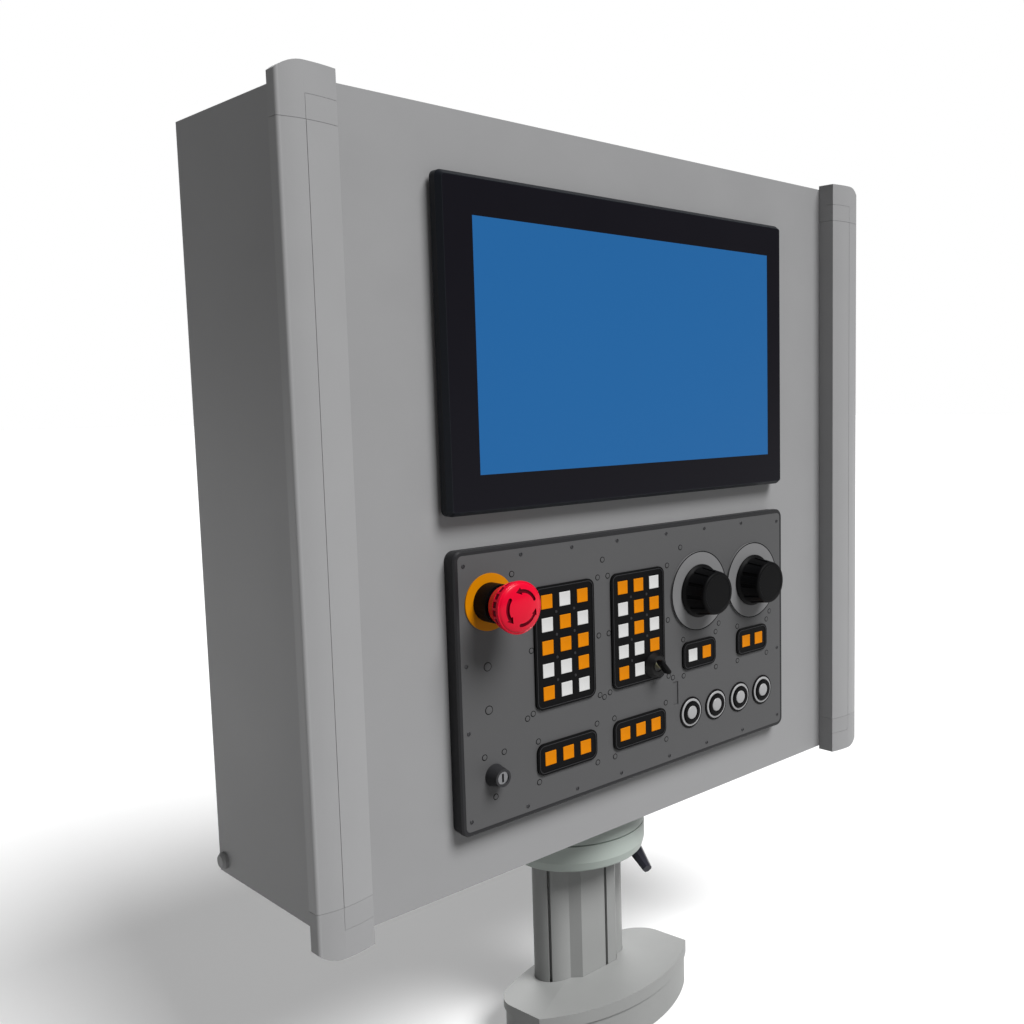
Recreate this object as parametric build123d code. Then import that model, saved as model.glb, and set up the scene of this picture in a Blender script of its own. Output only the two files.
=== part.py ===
from build123d import *
import math
import os

# Operator panel on a swivel column: a sheet-steel housing with a flat display, a control panel with
# keys, dials and an emergency stop, two grip rails, a rear door, and a coupling on a cast foot.
# Origin: centre of the cable hole in the foot's underside, on the swivel axis.
# X runs to the right as seen from the front, Y runs to the back and Z runs up. All sizes in millimetres.

# Stand: foot, column and swivel coupling
base_height = 50.0
base_half_width = 110.0
base_front = 103.0
base_front_corner = 64.0
base_back = 37.0
base_back_radius = 220.0
base_back_fillet = 38.0
base_lip_height = 14.0
base_lip_overhang = 2.0
base_top_slope = 5.0
base_crease_angle = 29.0
base_crease_y = -3.0
socket_depth = 14.0
socket_clearance = 0.3
cable_hole_radius = 22.0
base_bolt_spacing_x = 160.0
base_bolt_spacing_y = 60.0
base_bolt_centre_y = -30.0
base_bolt_radius = 4.25
base_bolt_depth = 22.0

column_visible = 136.0
column_half_depth = 35.0
column_front_half_width = 25.0
column_facet = 9.5
column_side_bulge = 23.5
column_cavity_width = 92.0
column_cavity_depth = 46.0
column_cavity_corner = 22.0
column_screw_x = 15.0
column_screw_y = 28.0
column_screw_radius = 3.4
column_groove_width = 3.6
column_groove_depth = 3.5
column_front_groove_x = 11.0
column_side_groove_angle = 34.0

coupling_radius = 77.0
coupling_ring_height = 29.0
coupling_cone_height = 10.0
coupling_cone_inset = 2.5
coupling_lip_height = 1.5
coupling_web = 8.0
coupling_web_bore = 20.0
coupling_groove_height = 1.5
coupling_groove_depth = 2.0
coupling_flange_height = 27.0
spigot_radius = 40.0
spigot_wall = 8.0
spigot_length = 12.0
spigot_clearance = 0.05
column_screw_head_radius = 5.5
column_screw_head_height = 5.0
flange_screw_circle = 60.0
flange_screw_radius = 4.0
flange_screw_head_radius = 6.5
flange_screw_head_height = 5.0
flange_screw_clearance = 0.4

# Clamp lever under the coupling ring
lever_x = 56.0
lever_y = -31.0
lever_hub_radius = 9.0
lever_hub_height = 15.0
lever_gap = 0.4
lever_edge = 3.0
lever_stud_radius = 4.0
lever_stud_length = 12.0
lever_stud_clearance = 0.05
lever_reach = 40.0
lever_drop = 16.0
lever_root_width = 17.0
lever_tip_width = 10.0
lever_root_depth = 12.0
lever_tip_depth = 9.0
lever_turn = 17.0

# Housing
housing_width = 700.0
housing_height = 700.0
housing_depth = 215.5
column_setback = 101.0
wall = 2.5
rear_flange = 28.0
door_gap = 2.0
door_thickness = 18.0
door_recess = 22.0
ledge_width = 14.0
door_seal_width = 9.0
door_seal_clearance = 0.3
vent_radius = 8.3
vent_projection = 4.5
vent_from_rear = 10.0
vent_from_bottom = 12.0
vent_shank_radius = 4.0
vent_shank_length = 8.0

# Rear door hinges and locks
hinge_barrel_radius = 5.0
hinge_axis_standoff = 6.0
hinge_pin_radius = 2.5
hinge_pin_clearance = 0.05
hinge_knuckle = 25.0
hinge_knuckle_gap = 0.3
hinge_plate_width = 20.0
hinge_plate_thickness = 2.5
hinge_from_end = 110.0
lock_from_edge = 30.0
lock_from_end = 170.0
lock_head_radius = 12.0
lock_head_height = 3.5
lock_body_radius = 8.0
lock_clearance = 0.1
lock_driver_width = 7.0
lock_driver_depth = 2.0
cam_length = 28.0
cam_width = 12.0
cam_thickness = 3.0
cam_gap = 0.8

# Grip rails on the front vertical edges
rail_half_width = 25.0
rail_inner_height = 21.0
rail_crown = 25.3
rail_groove_x = -3.5
rail_outer_front = 19.0
rail_outer_corner = 3.0
rail_outer_back = 9.0
rail_inner_bow = 1.1
rail_outer_bow = 0.8
rail_back_bow = 2.7
rail_strip_thickness = 2.4
rail_strip_gap = 0.4
rail_wall = 3.0
cap_height = 43.0
cap_overhang = 4.2
cap_joint = 0.3
cap_cover_height = 19.0
cap_cover_depth = 12.0
cap_cover_gap = 0.25
cap_drop = 9.0

# Display
display_width = 462.0
display_height = 297.0
display_offset_x = -3.0
display_centre_z = 495.5
display_corner = 6.0
display_front = 18.0
display_bevel_width = 3.5
display_bevel_depth = 5.0
display_standoff = 5.0
display_seal_inset = 4.0
display_rim = 0.6
glass_thickness = 3.0
screen_width = 402.0
screen_height = 226.0
screen_offset_x = 0.5
screen_thickness = 2.0
display_box_margin = 22.0
display_box_depth = 55.0
display_rib_count = 14
display_rib_height = 8.0
display_rib_thickness = 3.0

# Control panel
control_bottom = 54.2
left_edge_to_stop = 36.8
stop_to_left_keys = 86.7
left_to_middle_keys = 98.3
middle_keys_to_dial = 92.9
dial_spacing = 89.4
dial_to_right_edge = 56.9
bottom_edge_to_keys = 50.7
lower_keys_to_pad = 108.3
pad_to_stop = 53.7
stop_to_top_edge = 49.3
axis_keys_to_dial = 69.6
axis_keys_shift = 1.2
control_corner = 9.0
control_front = 15.0
control_rim = 4.2
control_rim_chamfer = 1.5
control_step = 8.0
control_step_depth = 0.6
faceplate_thickness = 3.0
faceplate_gap = 0.15
control_frame_wall = 9.0
cutout_clearance = 3.0

# Keys and key frames
key_pitch = 22.2
key_border = 4.2
key_frame_height = 2.2
key_frame_corner = 8.0
key_width = 13.4
key_gap = 0.3
key_proud = 0.4
key_edge = 0.3
key_flange = 1.2
key_flange_thickness = 2.0
key_travel = 1.5
key_module_depth = 14.0
pad_rows = 5
pad_columns = 3
axis_columns = 2

# Emergency stop
estop_ring_radius = 26.4
estop_ring_height = 1.2
estop_socket_radius = 18.0
estop_socket_height = 18.5
estop_stem_radius = 10.0
estop_stem_clearance = 0.3
estop_travel = 4.0
estop_collar_radius = 17.6
estop_collar_flare = 20.5
estop_collar_height = 11.0
estop_grip_radius = 22.8
estop_grip_height = 7.0
estop_head_radius = 23.8
estop_head_height = 4.0
estop_head_edge = 1.0
estop_dome = 4.5
estop_shoulder_radius = 17.0
estop_shoulder = 2.6
estop_ribs = 18
estop_rib_depth = 1.0
estop_pin_radius = 6.0
estop_pin_length = 6.0

# Override dials
dial_radius = 43.5
dial_thickness = 2.0
knob_skirt_radius = 29.3
knob_skirt_height = 3.5
knob_top_radius = 23.3
knob_height = 27.0
knob_flutes = 12
knob_flute_share = 0.06
knob_edge = 1.5
knob_gap = 0.4
knob_shaft_radius = 3.0
knob_shaft_clearance = 0.05

# Illuminated pushbuttons
button_count = 4
button_pitch = 40.6
button_to_right_edge = 39.5
button_bezel_radius = 17.2
button_bezel_height = 1.2
button_ring_radius = 15.2
button_ring_height = 1.8
button_cap_radius = 12.2
button_cap_clearance = 0.3
button_cap_proud = 3.5

# Key switches
switch_base_radius = 10.6
switch_front_radius = 8.3
switch_height = 13.5
mode_base_radius = 10.6
mode_skirt_radius = 14.0
mode_front_radius = 10.5
mode_height = 8.0
rotor_radius = 6.0
rotor_clearance = 0.05
rotor_recess = 1.0
keyway_width = 2.2
keyway_length = 8.0
keyway_depth = 4.0
key_blade_thickness = 2.0
key_blade_width = 7.0
key_blade_length = 2.5
key_bow_width = 20.0
key_bow_depth = 10.0
key_bow_thickness = 6.0
key_bow_corner = 3.0
mode_key_rest_angle = -40.0

# Faceplate screws and service slot
screw_radius = 2.6
screw_proud = 0.6
screw_sides = 8
screw_inset = 10.1
screw_corner_drop = 3.6
screw_column_shares = (-0.71, -0.43, -0.16, 0.16, 0.43, 0.71)
screw_left_shares = (-0.29, 0.22)
screw_right_shares = (-0.29,)
slot_to_button = 22.8
slot_above_buttons = 26.2
slot_width = 7.6
slot_height = 25.4
slot_depth = 1.2

# Contact blocks behind the faceplate
block_gap = 0.3
block_width = 30.0
block_height = 34.0
block_depth = 32.0
board_rim = 4.0

# Places worked out from the sizes above
socket_floor = base_height - socket_depth
column_top = base_height + column_visible
ring_top = column_top + coupling_ring_height
housing_bottom = ring_top + coupling_flange_height
housing_top = housing_bottom + housing_height
housing_half = housing_width / 2
front_y = -column_setback
rear_y = front_y + housing_depth
opening_half = housing_half - rear_flange
opening_low = housing_bottom + rear_flange
opening_high = housing_top - rear_flange
face_y = front_y - control_front
control_width = (
    left_edge_to_stop + stop_to_left_keys + left_to_middle_keys
    + middle_keys_to_dial + dial_spacing + dial_to_right_edge
)
control_height = bottom_edge_to_keys + lower_keys_to_pad + pad_to_stop + stop_to_top_edge
control_z = housing_bottom + control_bottom + control_height / 2
control_half = control_width / 2
display_z = housing_bottom + display_centre_z
estop_x = left_edge_to_stop - control_half
left_keys_x = estop_x + stop_to_left_keys
middle_keys_x = left_keys_x + left_to_middle_keys
dial_x = (middle_keys_x + middle_keys_to_dial, middle_keys_x + middle_keys_to_dial + dial_spacing)
lower_keys_z = housing_bottom + control_bottom + bottom_edge_to_keys
pad_z = lower_keys_z + lower_keys_to_pad
estop_z = pad_z + pad_to_stop
mode_x = middle_keys_x + key_pitch * (pad_columns - 1) / 2
mode_z = pad_z - key_pitch * (pad_rows - 1) / 2
dial_z = mode_z + axis_keys_to_dial
button_first_x = control_half - button_to_right_edge - button_pitch * (button_count - 1)
key_frame_y = face_y - key_frame_height
board_y = face_y + key_gap + key_flange_thickness + key_travel + block_gap


# Helpers
def block(x, y, z):
    """A box between a low and a high value on each axis."""
    size = (x[1] - x[0], y[1] - y[0], z[1] - z[0])
    middle = ((x[0] + x[1]) / 2, (y[0] + y[1]) / 2, (z[0] + z[1]) / 2)
    return Pos(*middle) * Box(*size)


def front_plane(y):
    """A drawing plane that faces the user, with X to the right and Z up."""
    return Plane.XZ.offset(-y)


def slab(width, height, corner, y_back, y_front, x, z):
    """A round-cornered plate that lies flat against the front."""
    outline = front_plane(y_back) * Pos(x, z) * RectangleRounded(width, height, corner)
    return extrude(outline, amount=y_back - y_front)


def post(radius, y_back, y_front, x, z):
    """A round bar along Y."""
    outline = front_plane(y_back) * Pos(x, z) * Circle(radius)
    return extrude(outline, amount=y_back - y_front)


def turned(points, x=0.0, y=0.0, z=0.0, forward=False):
    """A turned piece from (radius, height) points, standing up or pointing at the user."""
    profile = Plane.XZ * make_face(Polyline(*points, close=True))
    solid = revolve(profile, Axis.Z)
    if forward:
        solid = Rot(90, 0, 0) * solid
    return Pos(x, y, z) * solid


def prism(radius, sides, y_back, y_front, x, z):
    """A many-sided bar along Y."""
    outline = front_plane(y_back) * Pos(x, z) * RegularPolygon(radius, sides)
    return extrude(outline, amount=y_back - y_front)


def fluted(outer, inner, count):
    """A round outline with evenly spaced flutes, drawn with straight lines."""
    points = []
    for index in range(count):
        start = 2 * math.pi * index / count
        land = math.pi / count
        slope = land / count
        for angle, radius in ((start, outer), (start + land - slope, outer),
                              (start + land, inner), (start + 2 * land - slope, inner)):
            points.append((radius * math.cos(angle), radius * math.sin(angle)))
    return make_face(Polyline(*points, close=True))


def group(pieces):
    """Separate solids kept together as one node."""
    return Compound(children=list(pieces))


# Foot and column
def base_outline(inset):
    """Plan of the foot: bowed front, straight sides and a shallow back with rounded corners."""
    half = base_half_width - inset
    sagitta = base_back_radius - math.sqrt(base_back_radius**2 - half**2)
    back_corner = base_back - inset - sagitta
    front_corner = -base_front_corner + inset / 2
    front = ThreePointArc((-half, front_corner), (0, -base_front + inset), (half, front_corner))
    right = Line((half, front_corner), (half, back_corner))
    back = ThreePointArc((half, back_corner), (0, base_back - inset), (-half, back_corner))
    left = Line((-half, back_corner), (-half, front_corner))
    face = make_face([front, right, back, left])
    corners = face.vertices().filter_by(lambda v: v.Y > 0)
    return fillet(corners, base_back_fillet)


def column_outline():
    """Plan of the column: flat front and back, slanted corners and bulging sides."""
    x = column_front_half_width
    y = column_half_depth
    side_x = x + column_facet
    side_y = y - column_facet
    apex = side_x + column_side_bulge
    edges = [
        Polyline((-side_x, -side_y), (-x, -y), (x, -y), (side_x, -side_y)),
        ThreePointArc((side_x, -side_y), (apex, 0), (side_x, side_y)),
        Polyline((side_x, side_y), (x, y), (-x, y), (-side_x, side_y)),
        ThreePointArc((-side_x, side_y), (-apex, 0), (-side_x, -side_y)),
    ]
    return make_face(edges)


def side_arc():
    """Centre and radius of the arc on the column's side."""
    chord = column_half_depth - column_facet
    radius = (chord**2 + column_side_bulge**2) / (2 * column_side_bulge)
    centre = column_front_half_width + column_facet + column_side_bulge - radius
    return centre, radius


def make_base():
    """Cast foot with a lip, a gently hipped top, a socket, a cable hole and tapped holes."""
    body = extrude(base_outline(base_lip_overhang), amount=base_height)
    lip = Pos(0, 0, base_height - base_lip_height) * extrude(base_outline(0), amount=base_lip_height)
    body = body + lip
    reach = 3 * base_half_width
    for side in (1, -1):
        cutter = Pos(0, reach / 2, reach / 2) * Box(2 * reach, reach, reach)
        cutter = Rot(-base_top_slope, 0, 0) * cutter
        cutter = Pos(0, base_crease_y, base_height) * Rot(0, 0, -side * base_crease_angle) * cutter
        keep = Pos(side * reach / 2, 0, 0) * Box(reach, 2 * reach, 4 * base_height)
        body = body - (cutter & keep)
    socket = offset(column_outline(), amount=socket_clearance)
    body = body - Pos(0, 0, socket_floor) * extrude(socket, amount=2 * socket_depth)
    body = body - Pos(0, 0, base_height / 2) * Cylinder(cable_hole_radius, 2 * base_height)
    for x in (-base_bolt_spacing_x / 2, base_bolt_spacing_x / 2):
        for y in (-base_bolt_spacing_y / 2, base_bolt_spacing_y / 2):
            hole = Cylinder(base_bolt_radius, 2 * base_bolt_depth)
            body = body - Pos(x, base_bolt_centre_y + y, 0) * hole
    return body


def make_column():
    """Hollow extrusion with four screw channels, two front and back grooves and two side grooves."""
    section = column_outline()
    section = section - RectangleRounded(column_cavity_width, column_cavity_depth, column_cavity_corner)
    for x in (-column_screw_x, column_screw_x):
        for y in (-column_screw_y, column_screw_y):
            section = section - Pos(x, y) * Circle(column_screw_radius)
    centre, radius = side_arc()
    reach = radius - column_groove_depth / 2
    angle = math.radians(column_side_groove_angle)
    for turn in (0, 180):
        flat_groove = Rectangle(column_groove_width, 2 * column_groove_depth)
        section = section - Rot(0, 0, turn) * Pos(column_front_groove_x, -column_half_depth) * flat_groove
        place = Pos(-centre - reach * math.cos(angle), -reach * math.sin(angle))
        side_groove = Rectangle(2 * column_groove_depth, column_groove_width)
        side_groove = Rot(0, 0, column_side_groove_angle) * side_groove
        section = section - Rot(0, 0, turn) * place * side_groove
    return Pos(0, 0, socket_floor) * extrude(section, amount=column_top - socket_floor)


# Swivel coupling
def make_coupling_ring():
    """Lower coupling half: web on the column, bore for the spigot, cone below and the lever's hole."""
    low = coupling_radius - coupling_cone_inset
    bore = spigot_radius + spigot_clearance
    ring = turned([
        (coupling_web_bore, column_top),
        (low - coupling_lip_height, column_top),
        (low, column_top + coupling_lip_height),
        (coupling_radius, column_top + coupling_cone_height),
        (coupling_radius, ring_top),
        (bore, ring_top),
        (bore, column_top + coupling_web),
        (coupling_web_bore, column_top + coupling_web),
    ])
    hole_radius = lever_stud_radius + lever_stud_clearance
    ring = ring - Pos(lever_x, lever_y, column_top) * Cylinder(hole_radius, 2 * lever_stud_length)
    pieces = [ring]
    head = extrude(RegularPolygon(column_screw_head_radius, screw_sides), amount=column_screw_head_height)
    for x in (-column_screw_x, column_screw_x):
        for y in (-column_screw_y, column_screw_y):
            pieces.append(Pos(x, y, column_top + coupling_web) * head)
    return group(pieces)


def flange_screw_places():
    """The four screws that hold the flange to the housing's floor, on a circle."""
    reach = flange_screw_circle / math.sqrt(2)
    return [(x, y) for x in (-reach, reach) for y in (-reach, reach)]


def make_coupling_flange():
    """Upper coupling half with its spigot, and the four screws in the housing's floor."""
    inner = spigot_radius - spigot_wall
    flange = turned([
        (inner, housing_bottom),
        (inner, ring_top - spigot_length),
        (spigot_radius, ring_top - spigot_length),
        (spigot_radius, ring_top),
        (coupling_radius - coupling_groove_depth, ring_top),
        (coupling_radius - coupling_groove_depth, ring_top + coupling_groove_height),
        (coupling_radius, ring_top + coupling_groove_height),
        (coupling_radius, housing_bottom),
    ])
    pieces = [flange]
    shank = extrude(RegularPolygon(flange_screw_radius, screw_sides), amount=wall)
    head = extrude(RegularPolygon(flange_screw_head_radius, screw_sides), amount=flange_screw_head_height)
    screw = shank + Pos(0, 0, wall) * head
    for x, y in flange_screw_places():
        pieces.append(Pos(x, y, housing_bottom) * screw)
    return group(pieces)


def lever_section(width, depth):
    """Section of the lever's arm: a rectangle with its corners cut at 45 degrees."""
    x = width / 2
    y = depth / 2
    cut = lever_edge
    points = [(-x + cut, -y), (x - cut, -y), (x, -y + cut), (x, y - cut)]
    points += [(x - cut, y), (-x + cut, y), (-x, y - cut), (-x, -y + cut)]
    return make_face(Polyline(*points, close=True))


def make_clamp_lever():
    """Hub with its stud, and a tapered arm with cut corners that points forwards and down."""
    top = column_top - lever_gap
    hub = Pos(0, 0, top - lever_hub_height / 2) * Cylinder(lever_hub_radius, lever_hub_height)
    stud = Pos(0, 0, top + lever_stud_length / 2) * Cylinder(lever_stud_radius, lever_stud_length)
    slope = math.degrees(math.atan2(lever_drop, lever_reach))
    length = math.hypot(lever_drop, lever_reach)
    root = Plane.XZ * lever_section(lever_root_width, lever_root_depth)
    tip = Plane.XZ.offset(length) * lever_section(lever_tip_width, lever_tip_depth)
    arm = loft([root, tip], ruled=True)
    arm = Pos(0, 0, top - lever_hub_height / 2) * Rot(slope, 0, 0) * arm
    lever = hub + stud + arm
    return Pos(lever_x, lever_y, 0) * Rot(0, 0, -lever_turn) * lever


# Housing
def square_ring(half, low, high, inner_half, inner_low, inner_high, y):
    """A rectangular ring between an outer and an inner outline."""
    outer = block((-half, half), y, (low, high))
    inner = block((-inner_half, inner_half), (y[0] - wall, y[1] + wall), (inner_low, inner_high))
    return outer - inner


def make_wrapper():
    """Side walls, floor and roof, the rear flange and the stepped frame that the door sits in."""
    shell = square_ring(
        housing_half, housing_bottom, housing_top,
        housing_half - wall, housing_bottom + wall, housing_top - wall,
        (front_y + wall, rear_y),
    )
    flange = square_ring(
        housing_half - wall, housing_bottom + wall, housing_top - wall,
        opening_half, opening_low, opening_high,
        (rear_y - wall, rear_y),
    )
    recess = square_ring(
        opening_half + wall, opening_low - wall, opening_high + wall,
        opening_half, opening_low, opening_high,
        (rear_y - door_recess - wall, rear_y),
    )
    ledge = square_ring(
        opening_half + wall, opening_low - wall, opening_high + wall,
        opening_half - ledge_width, opening_low + ledge_width, opening_high - ledge_width,
        (rear_y - door_recess - wall, rear_y - door_recess),
    )
    shell = shell + flange + recess + ledge
    floor_hole = Cylinder(spigot_radius - spigot_wall, 4 * wall)
    shell = shell - Pos(0, 0, housing_bottom) * floor_hole
    for x, y in flange_screw_places():
        hole = Cylinder(flange_screw_radius + flange_screw_clearance, 4 * wall)
        shell = shell - Pos(x, y, housing_bottom) * hole
    vent_hole = Rot(0, 90, 0) * Cylinder(vent_shank_radius + lock_clearance, 4 * wall)
    vent_place = (-housing_half, rear_y - vent_from_rear, housing_bottom + vent_from_bottom)
    return shell - Pos(*vent_place) * vent_hole


def display_box_size():
    """Width and height of the electronics box behind the display's glass."""
    return display_width - 2 * display_box_margin, display_height - 2 * display_box_margin


def display_cutout():
    """Width and height of the hole in the front plate behind the display."""
    width, height = display_box_size()
    return width + 4 * cutout_clearance, height + 4 * cutout_clearance


def control_cutout():
    """Width and height of the hole in the front plate behind the control panel."""
    return control_width - 2 * control_frame_wall, control_height - 2 * control_frame_wall


def make_front_plate():
    """Front wall with rounded cut-outs behind the display and the control panel."""
    plate = block((-housing_half, housing_half), (front_y, front_y + wall), (housing_bottom, housing_top))
    back = front_y + 2 * wall
    front = front_y - wall
    width, height = display_cutout()
    plate = plate - slab(width, height, wall, back, front, display_offset_x, display_z)
    width, height = control_cutout()
    return plate - slab(width, height, wall, back, front, 0, control_z)


def make_vent_plug():
    """Round plug with a domed head and a shank through the left wall."""
    plug = turned([
        (0, -wall - vent_shank_length),
        (vent_shank_radius, -wall - vent_shank_length),
        (vent_shank_radius, 0),
        (vent_radius, 0),
        (vent_radius, vent_projection / 2),
        (vent_radius - vent_projection / 2, vent_projection),
        (0, vent_projection),
    ])
    place = (-housing_half, rear_y - vent_from_rear, housing_bottom + vent_from_bottom)
    return Pos(*place) * Rot(0, -90, 0) * plug


# Grip rails
def bowed(start, end, bow):
    """An arc between two points of a plan, its middle moved forwards from the chord by the bow."""
    middle = ((start[0] + end[0]) / 2, (start[1] + end[1]) / 2 - bow)
    return ThreePointArc(start, middle, end)


def rail_section():
    """Plan of a left rail with its strip, x from the housing's corner and y from its front."""
    inner = rail_half_width
    outer = -rail_half_width
    crown = (rail_groove_x, -rail_crown)
    corner = rail_outer_corner
    corner_start = (outer + corner, -rail_outer_front - corner)
    corner_end = (outer, -rail_outer_front)
    knee = corner * (1 - math.sqrt(0.5))
    return make_face([
        Line((inner, 0), (inner, -rail_inner_height)),
        bowed((inner, -rail_inner_height), crown, rail_inner_bow),
        bowed(crown, corner_start, rail_outer_bow),
        ThreePointArc(corner_start, (outer + knee, corner_start[1] + knee), corner_end),
        Line(corner_end, (outer, -rail_outer_back)),
        bowed((outer, -rail_outer_back), (0, 0), rail_back_bow),
        Line((0, 0), (inner, 0)),
    ])


def strip_region(gap):
    """Plan of the part of the section that belongs to the snap-in strip."""
    low = rail_groove_x + gap
    width = rail_half_width - low + rail_wall
    region = Pos(low + width / 2, -rail_crown) * Rectangle(width, 2 * rail_crown)
    lowered = Pos(0, rail_strip_thickness + gap) * rail_section()
    return region, lowered


def place_rail(solid, side):
    """Puts a left rail piece on the left edge, or its mirror image on the right edge."""
    placed = Pos(-housing_half, front_y, 0) * solid
    if side > 0:
        placed = placed.mirror(Plane.YZ)
    return placed


def cap_levels():
    """Where the rails end and where the caps begin and end."""
    low = housing_bottom - cap_overhang
    high = housing_top + cap_overhang
    return low, low + cap_height, high - cap_height, high


def rail_body_section():
    """Hollow rail without its strip."""
    region, lowered = strip_region(0)
    section = rail_section()
    pocket = (region & section) - lowered
    section = section - pocket
    cavity_width = rail_half_width - 2 * rail_wall
    cavity_depth = rail_inner_height - rail_strip_thickness - 2 * rail_wall
    cavity_y = -(2 * rail_wall + cavity_depth / 2)
    return section - Pos(rail_half_width / 2, cavity_y) * Rectangle(cavity_width, cavity_depth)


def make_rails():
    """The two grip rails."""
    low, rail_low, rail_high, high = cap_levels()
    body = extrude(rail_body_section(), amount=rail_high - rail_low - 2 * cap_joint)
    body = Pos(0, 0, rail_low + cap_joint) * body
    return group([place_rail(body, -1), place_rail(body, 1)])


def make_strips():
    """The snap-in strip of each rail, a thin bowed cover."""
    low, rail_low, rail_high, high = cap_levels()
    region, lowered = strip_region(rail_strip_gap)
    section = (region & rail_section()) - Pos(0, -rail_strip_gap) * lowered
    body = extrude(section, amount=rail_high - rail_low - 2 * cap_joint)
    body = Pos(0, 0, rail_low + cap_joint) * body
    return group([place_rail(body, -1), place_rail(body, 1)])


def make_end_caps():
    """Four caps, each rounded down to its outer side, and the small cover let into each one."""
    low, rail_low, rail_high, high = cap_levels()
    section = rail_section()
    full = extrude(section, amount=cap_height)
    run = rail_half_width + rail_groove_x
    arc_radius = (run**2 + cap_drop**2) / (2 * cap_drop)
    arc_centre_z = cap_height - arc_radius
    edge_x = -rail_half_width
    angle = math.atan2(run, arc_radius - cap_drop) / 2
    middle = (rail_groove_x - arc_radius * math.sin(angle), arc_centre_z + arc_radius * math.cos(angle))
    above = cap_height + cap_drop
    waste = make_face([
        ThreePointArc((edge_x, cap_height - cap_drop), middle, (rail_groove_x, cap_height)),
        Polyline((rail_groove_x, cap_height), (rail_groove_x, above), (edge_x - cap_drop, above),
                 (edge_x - cap_drop, cap_height - cap_drop), (edge_x, cap_height - cap_drop)),
    ])
    full = full - extrude(Plane.XZ * waste, amount=2 * rail_crown, both=True)
    window_x = (rail_groove_x, rail_half_width + rail_wall)
    window_y = (-2 * rail_crown, -cap_cover_depth)
    cover_x = (rail_groove_x + cap_cover_gap, rail_half_width + rail_wall)
    cap = full - block(window_x, window_y, (-rail_wall, cap_cover_height))
    cover = full & block(cover_x, window_y, (0, cap_cover_height - cap_cover_gap))
    pieces = []
    for piece in (cap, cover):
        upper = Pos(0, 0, rail_high) * piece
        lower = Pos(0, 0, rail_low) * piece.mirror(Plane.XY)
        for placed in (upper, lower):
            pieces.append(place_rail(placed, -1))
            pieces.append(place_rail(placed, 1))
    return group(pieces)


# Rear door
def door_box():
    """Outer half width, bottom and top of the door leaf."""
    return opening_half - door_gap, opening_low + door_gap, opening_high - door_gap


def hinge_axis():
    """Place of the door's hinge axis in plan."""
    return -opening_half + door_gap / 2, rear_y + hinge_axis_standoff


def hinge_levels():
    """Bottom of the lower and of the upper hinge."""
    half, low, high = door_box()
    return low + hinge_from_end, high - hinge_from_end - 2 * hinge_knuckle


def lock_places():
    """Places of the two locks on the side away from the hinges."""
    half, low, high = door_box()
    x = half - lock_from_edge
    return [(x, low + lock_from_end), (x, high - lock_from_end)]


def hinge_half(side, base_z, bore):
    """A plate on the rear face with its knuckle, reaching to the side that it is fixed on."""
    axis_x, axis_y = hinge_axis()
    start = axis_x + side * (hinge_barrel_radius + door_gap)
    end = start + side * hinge_plate_width
    z = (base_z, base_z + hinge_knuckle)
    plate = block((min(start, end), max(start, end)), (rear_y, rear_y + hinge_plate_thickness), z)
    web = block((min(axis_x, start), max(axis_x, start)), (axis_y - hinge_barrel_radius,
                axis_y - hinge_barrel_radius + hinge_plate_thickness), z)
    middle = base_z + hinge_knuckle / 2
    barrel = Pos(axis_x, axis_y, middle) * Cylinder(hinge_barrel_radius, hinge_knuckle)
    half = plate + web + barrel
    if bore:
        half = half - Pos(axis_x, axis_y, middle) * Cylinder(bore, 2 * hinge_knuckle)
    return half


def make_hinges():
    """Fixed hinge halves on the housing, each with its pin standing up."""
    axis_x, axis_y = hinge_axis()
    halves = []
    for z in hinge_levels():
        pin_length = 2 * hinge_knuckle
        pin = Pos(axis_x, axis_y, z + pin_length / 2) * Cylinder(hinge_pin_radius, pin_length)
        halves.append(hinge_half(-1, z, 0) + pin)
    return group(halves)


def make_door():
    """Door tray with turned-in edges and lock holes, and the two moving hinge halves."""
    half, low, high = door_box()
    outer = block((-half, half), (rear_y - door_thickness, rear_y), (low, high))
    inner = block(
        (-half + wall, half - wall),
        (rear_y - door_thickness - wall, rear_y - wall),
        (low + wall, high - wall),
    )
    rim = square_ring(
        half, low, high,
        half - door_seal_width, low + door_seal_width, high - door_seal_width,
        (rear_y - door_thickness, rear_y - door_thickness + wall),
    )
    leaf = (outer - inner) + rim
    for x, z in lock_places():
        leaf = leaf - post(lock_body_radius + lock_clearance, rear_y + wall, rear_y - 2 * wall, x, z)
    pieces = [leaf]
    for z in hinge_levels():
        upper = z + hinge_knuckle + hinge_knuckle_gap
        pieces.append(hinge_half(1, upper, hinge_pin_radius + hinge_pin_clearance))
    return group(pieces)


def make_door_seal():
    """Seal on the door's turned-in rim, just clear of the ledge."""
    half, low, high = door_box()
    back = rear_y - door_thickness
    front = rear_y - door_recess + door_seal_clearance
    return square_ring(
        half - wall, low + wall, high - wall,
        half - door_seal_width, low + door_seal_width, high - door_seal_width,
        (front, back),
    )


def make_lock(x, z):
    """Quarter-turn lock: a head with a square driver, a body through the door and a cam, shown open."""
    cam_back = rear_y - door_recess - wall - cam_gap
    cam_front = cam_back - cam_thickness
    head = post(lock_head_radius, rear_y + lock_head_height, rear_y, x, z)
    body = post(lock_body_radius, rear_y, cam_front, x, z)
    cam = block((x - cam_width / 2, x + cam_width / 2), (cam_front, cam_back), (z, z + cam_length))
    driver_half = lock_driver_width / 2
    driver = block(
        (x - driver_half, x + driver_half),
        (rear_y + lock_head_height - lock_driver_depth, rear_y + 2 * lock_head_height),
        (z - driver_half, z + driver_half),
    )
    return head + body + cam - driver


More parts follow.
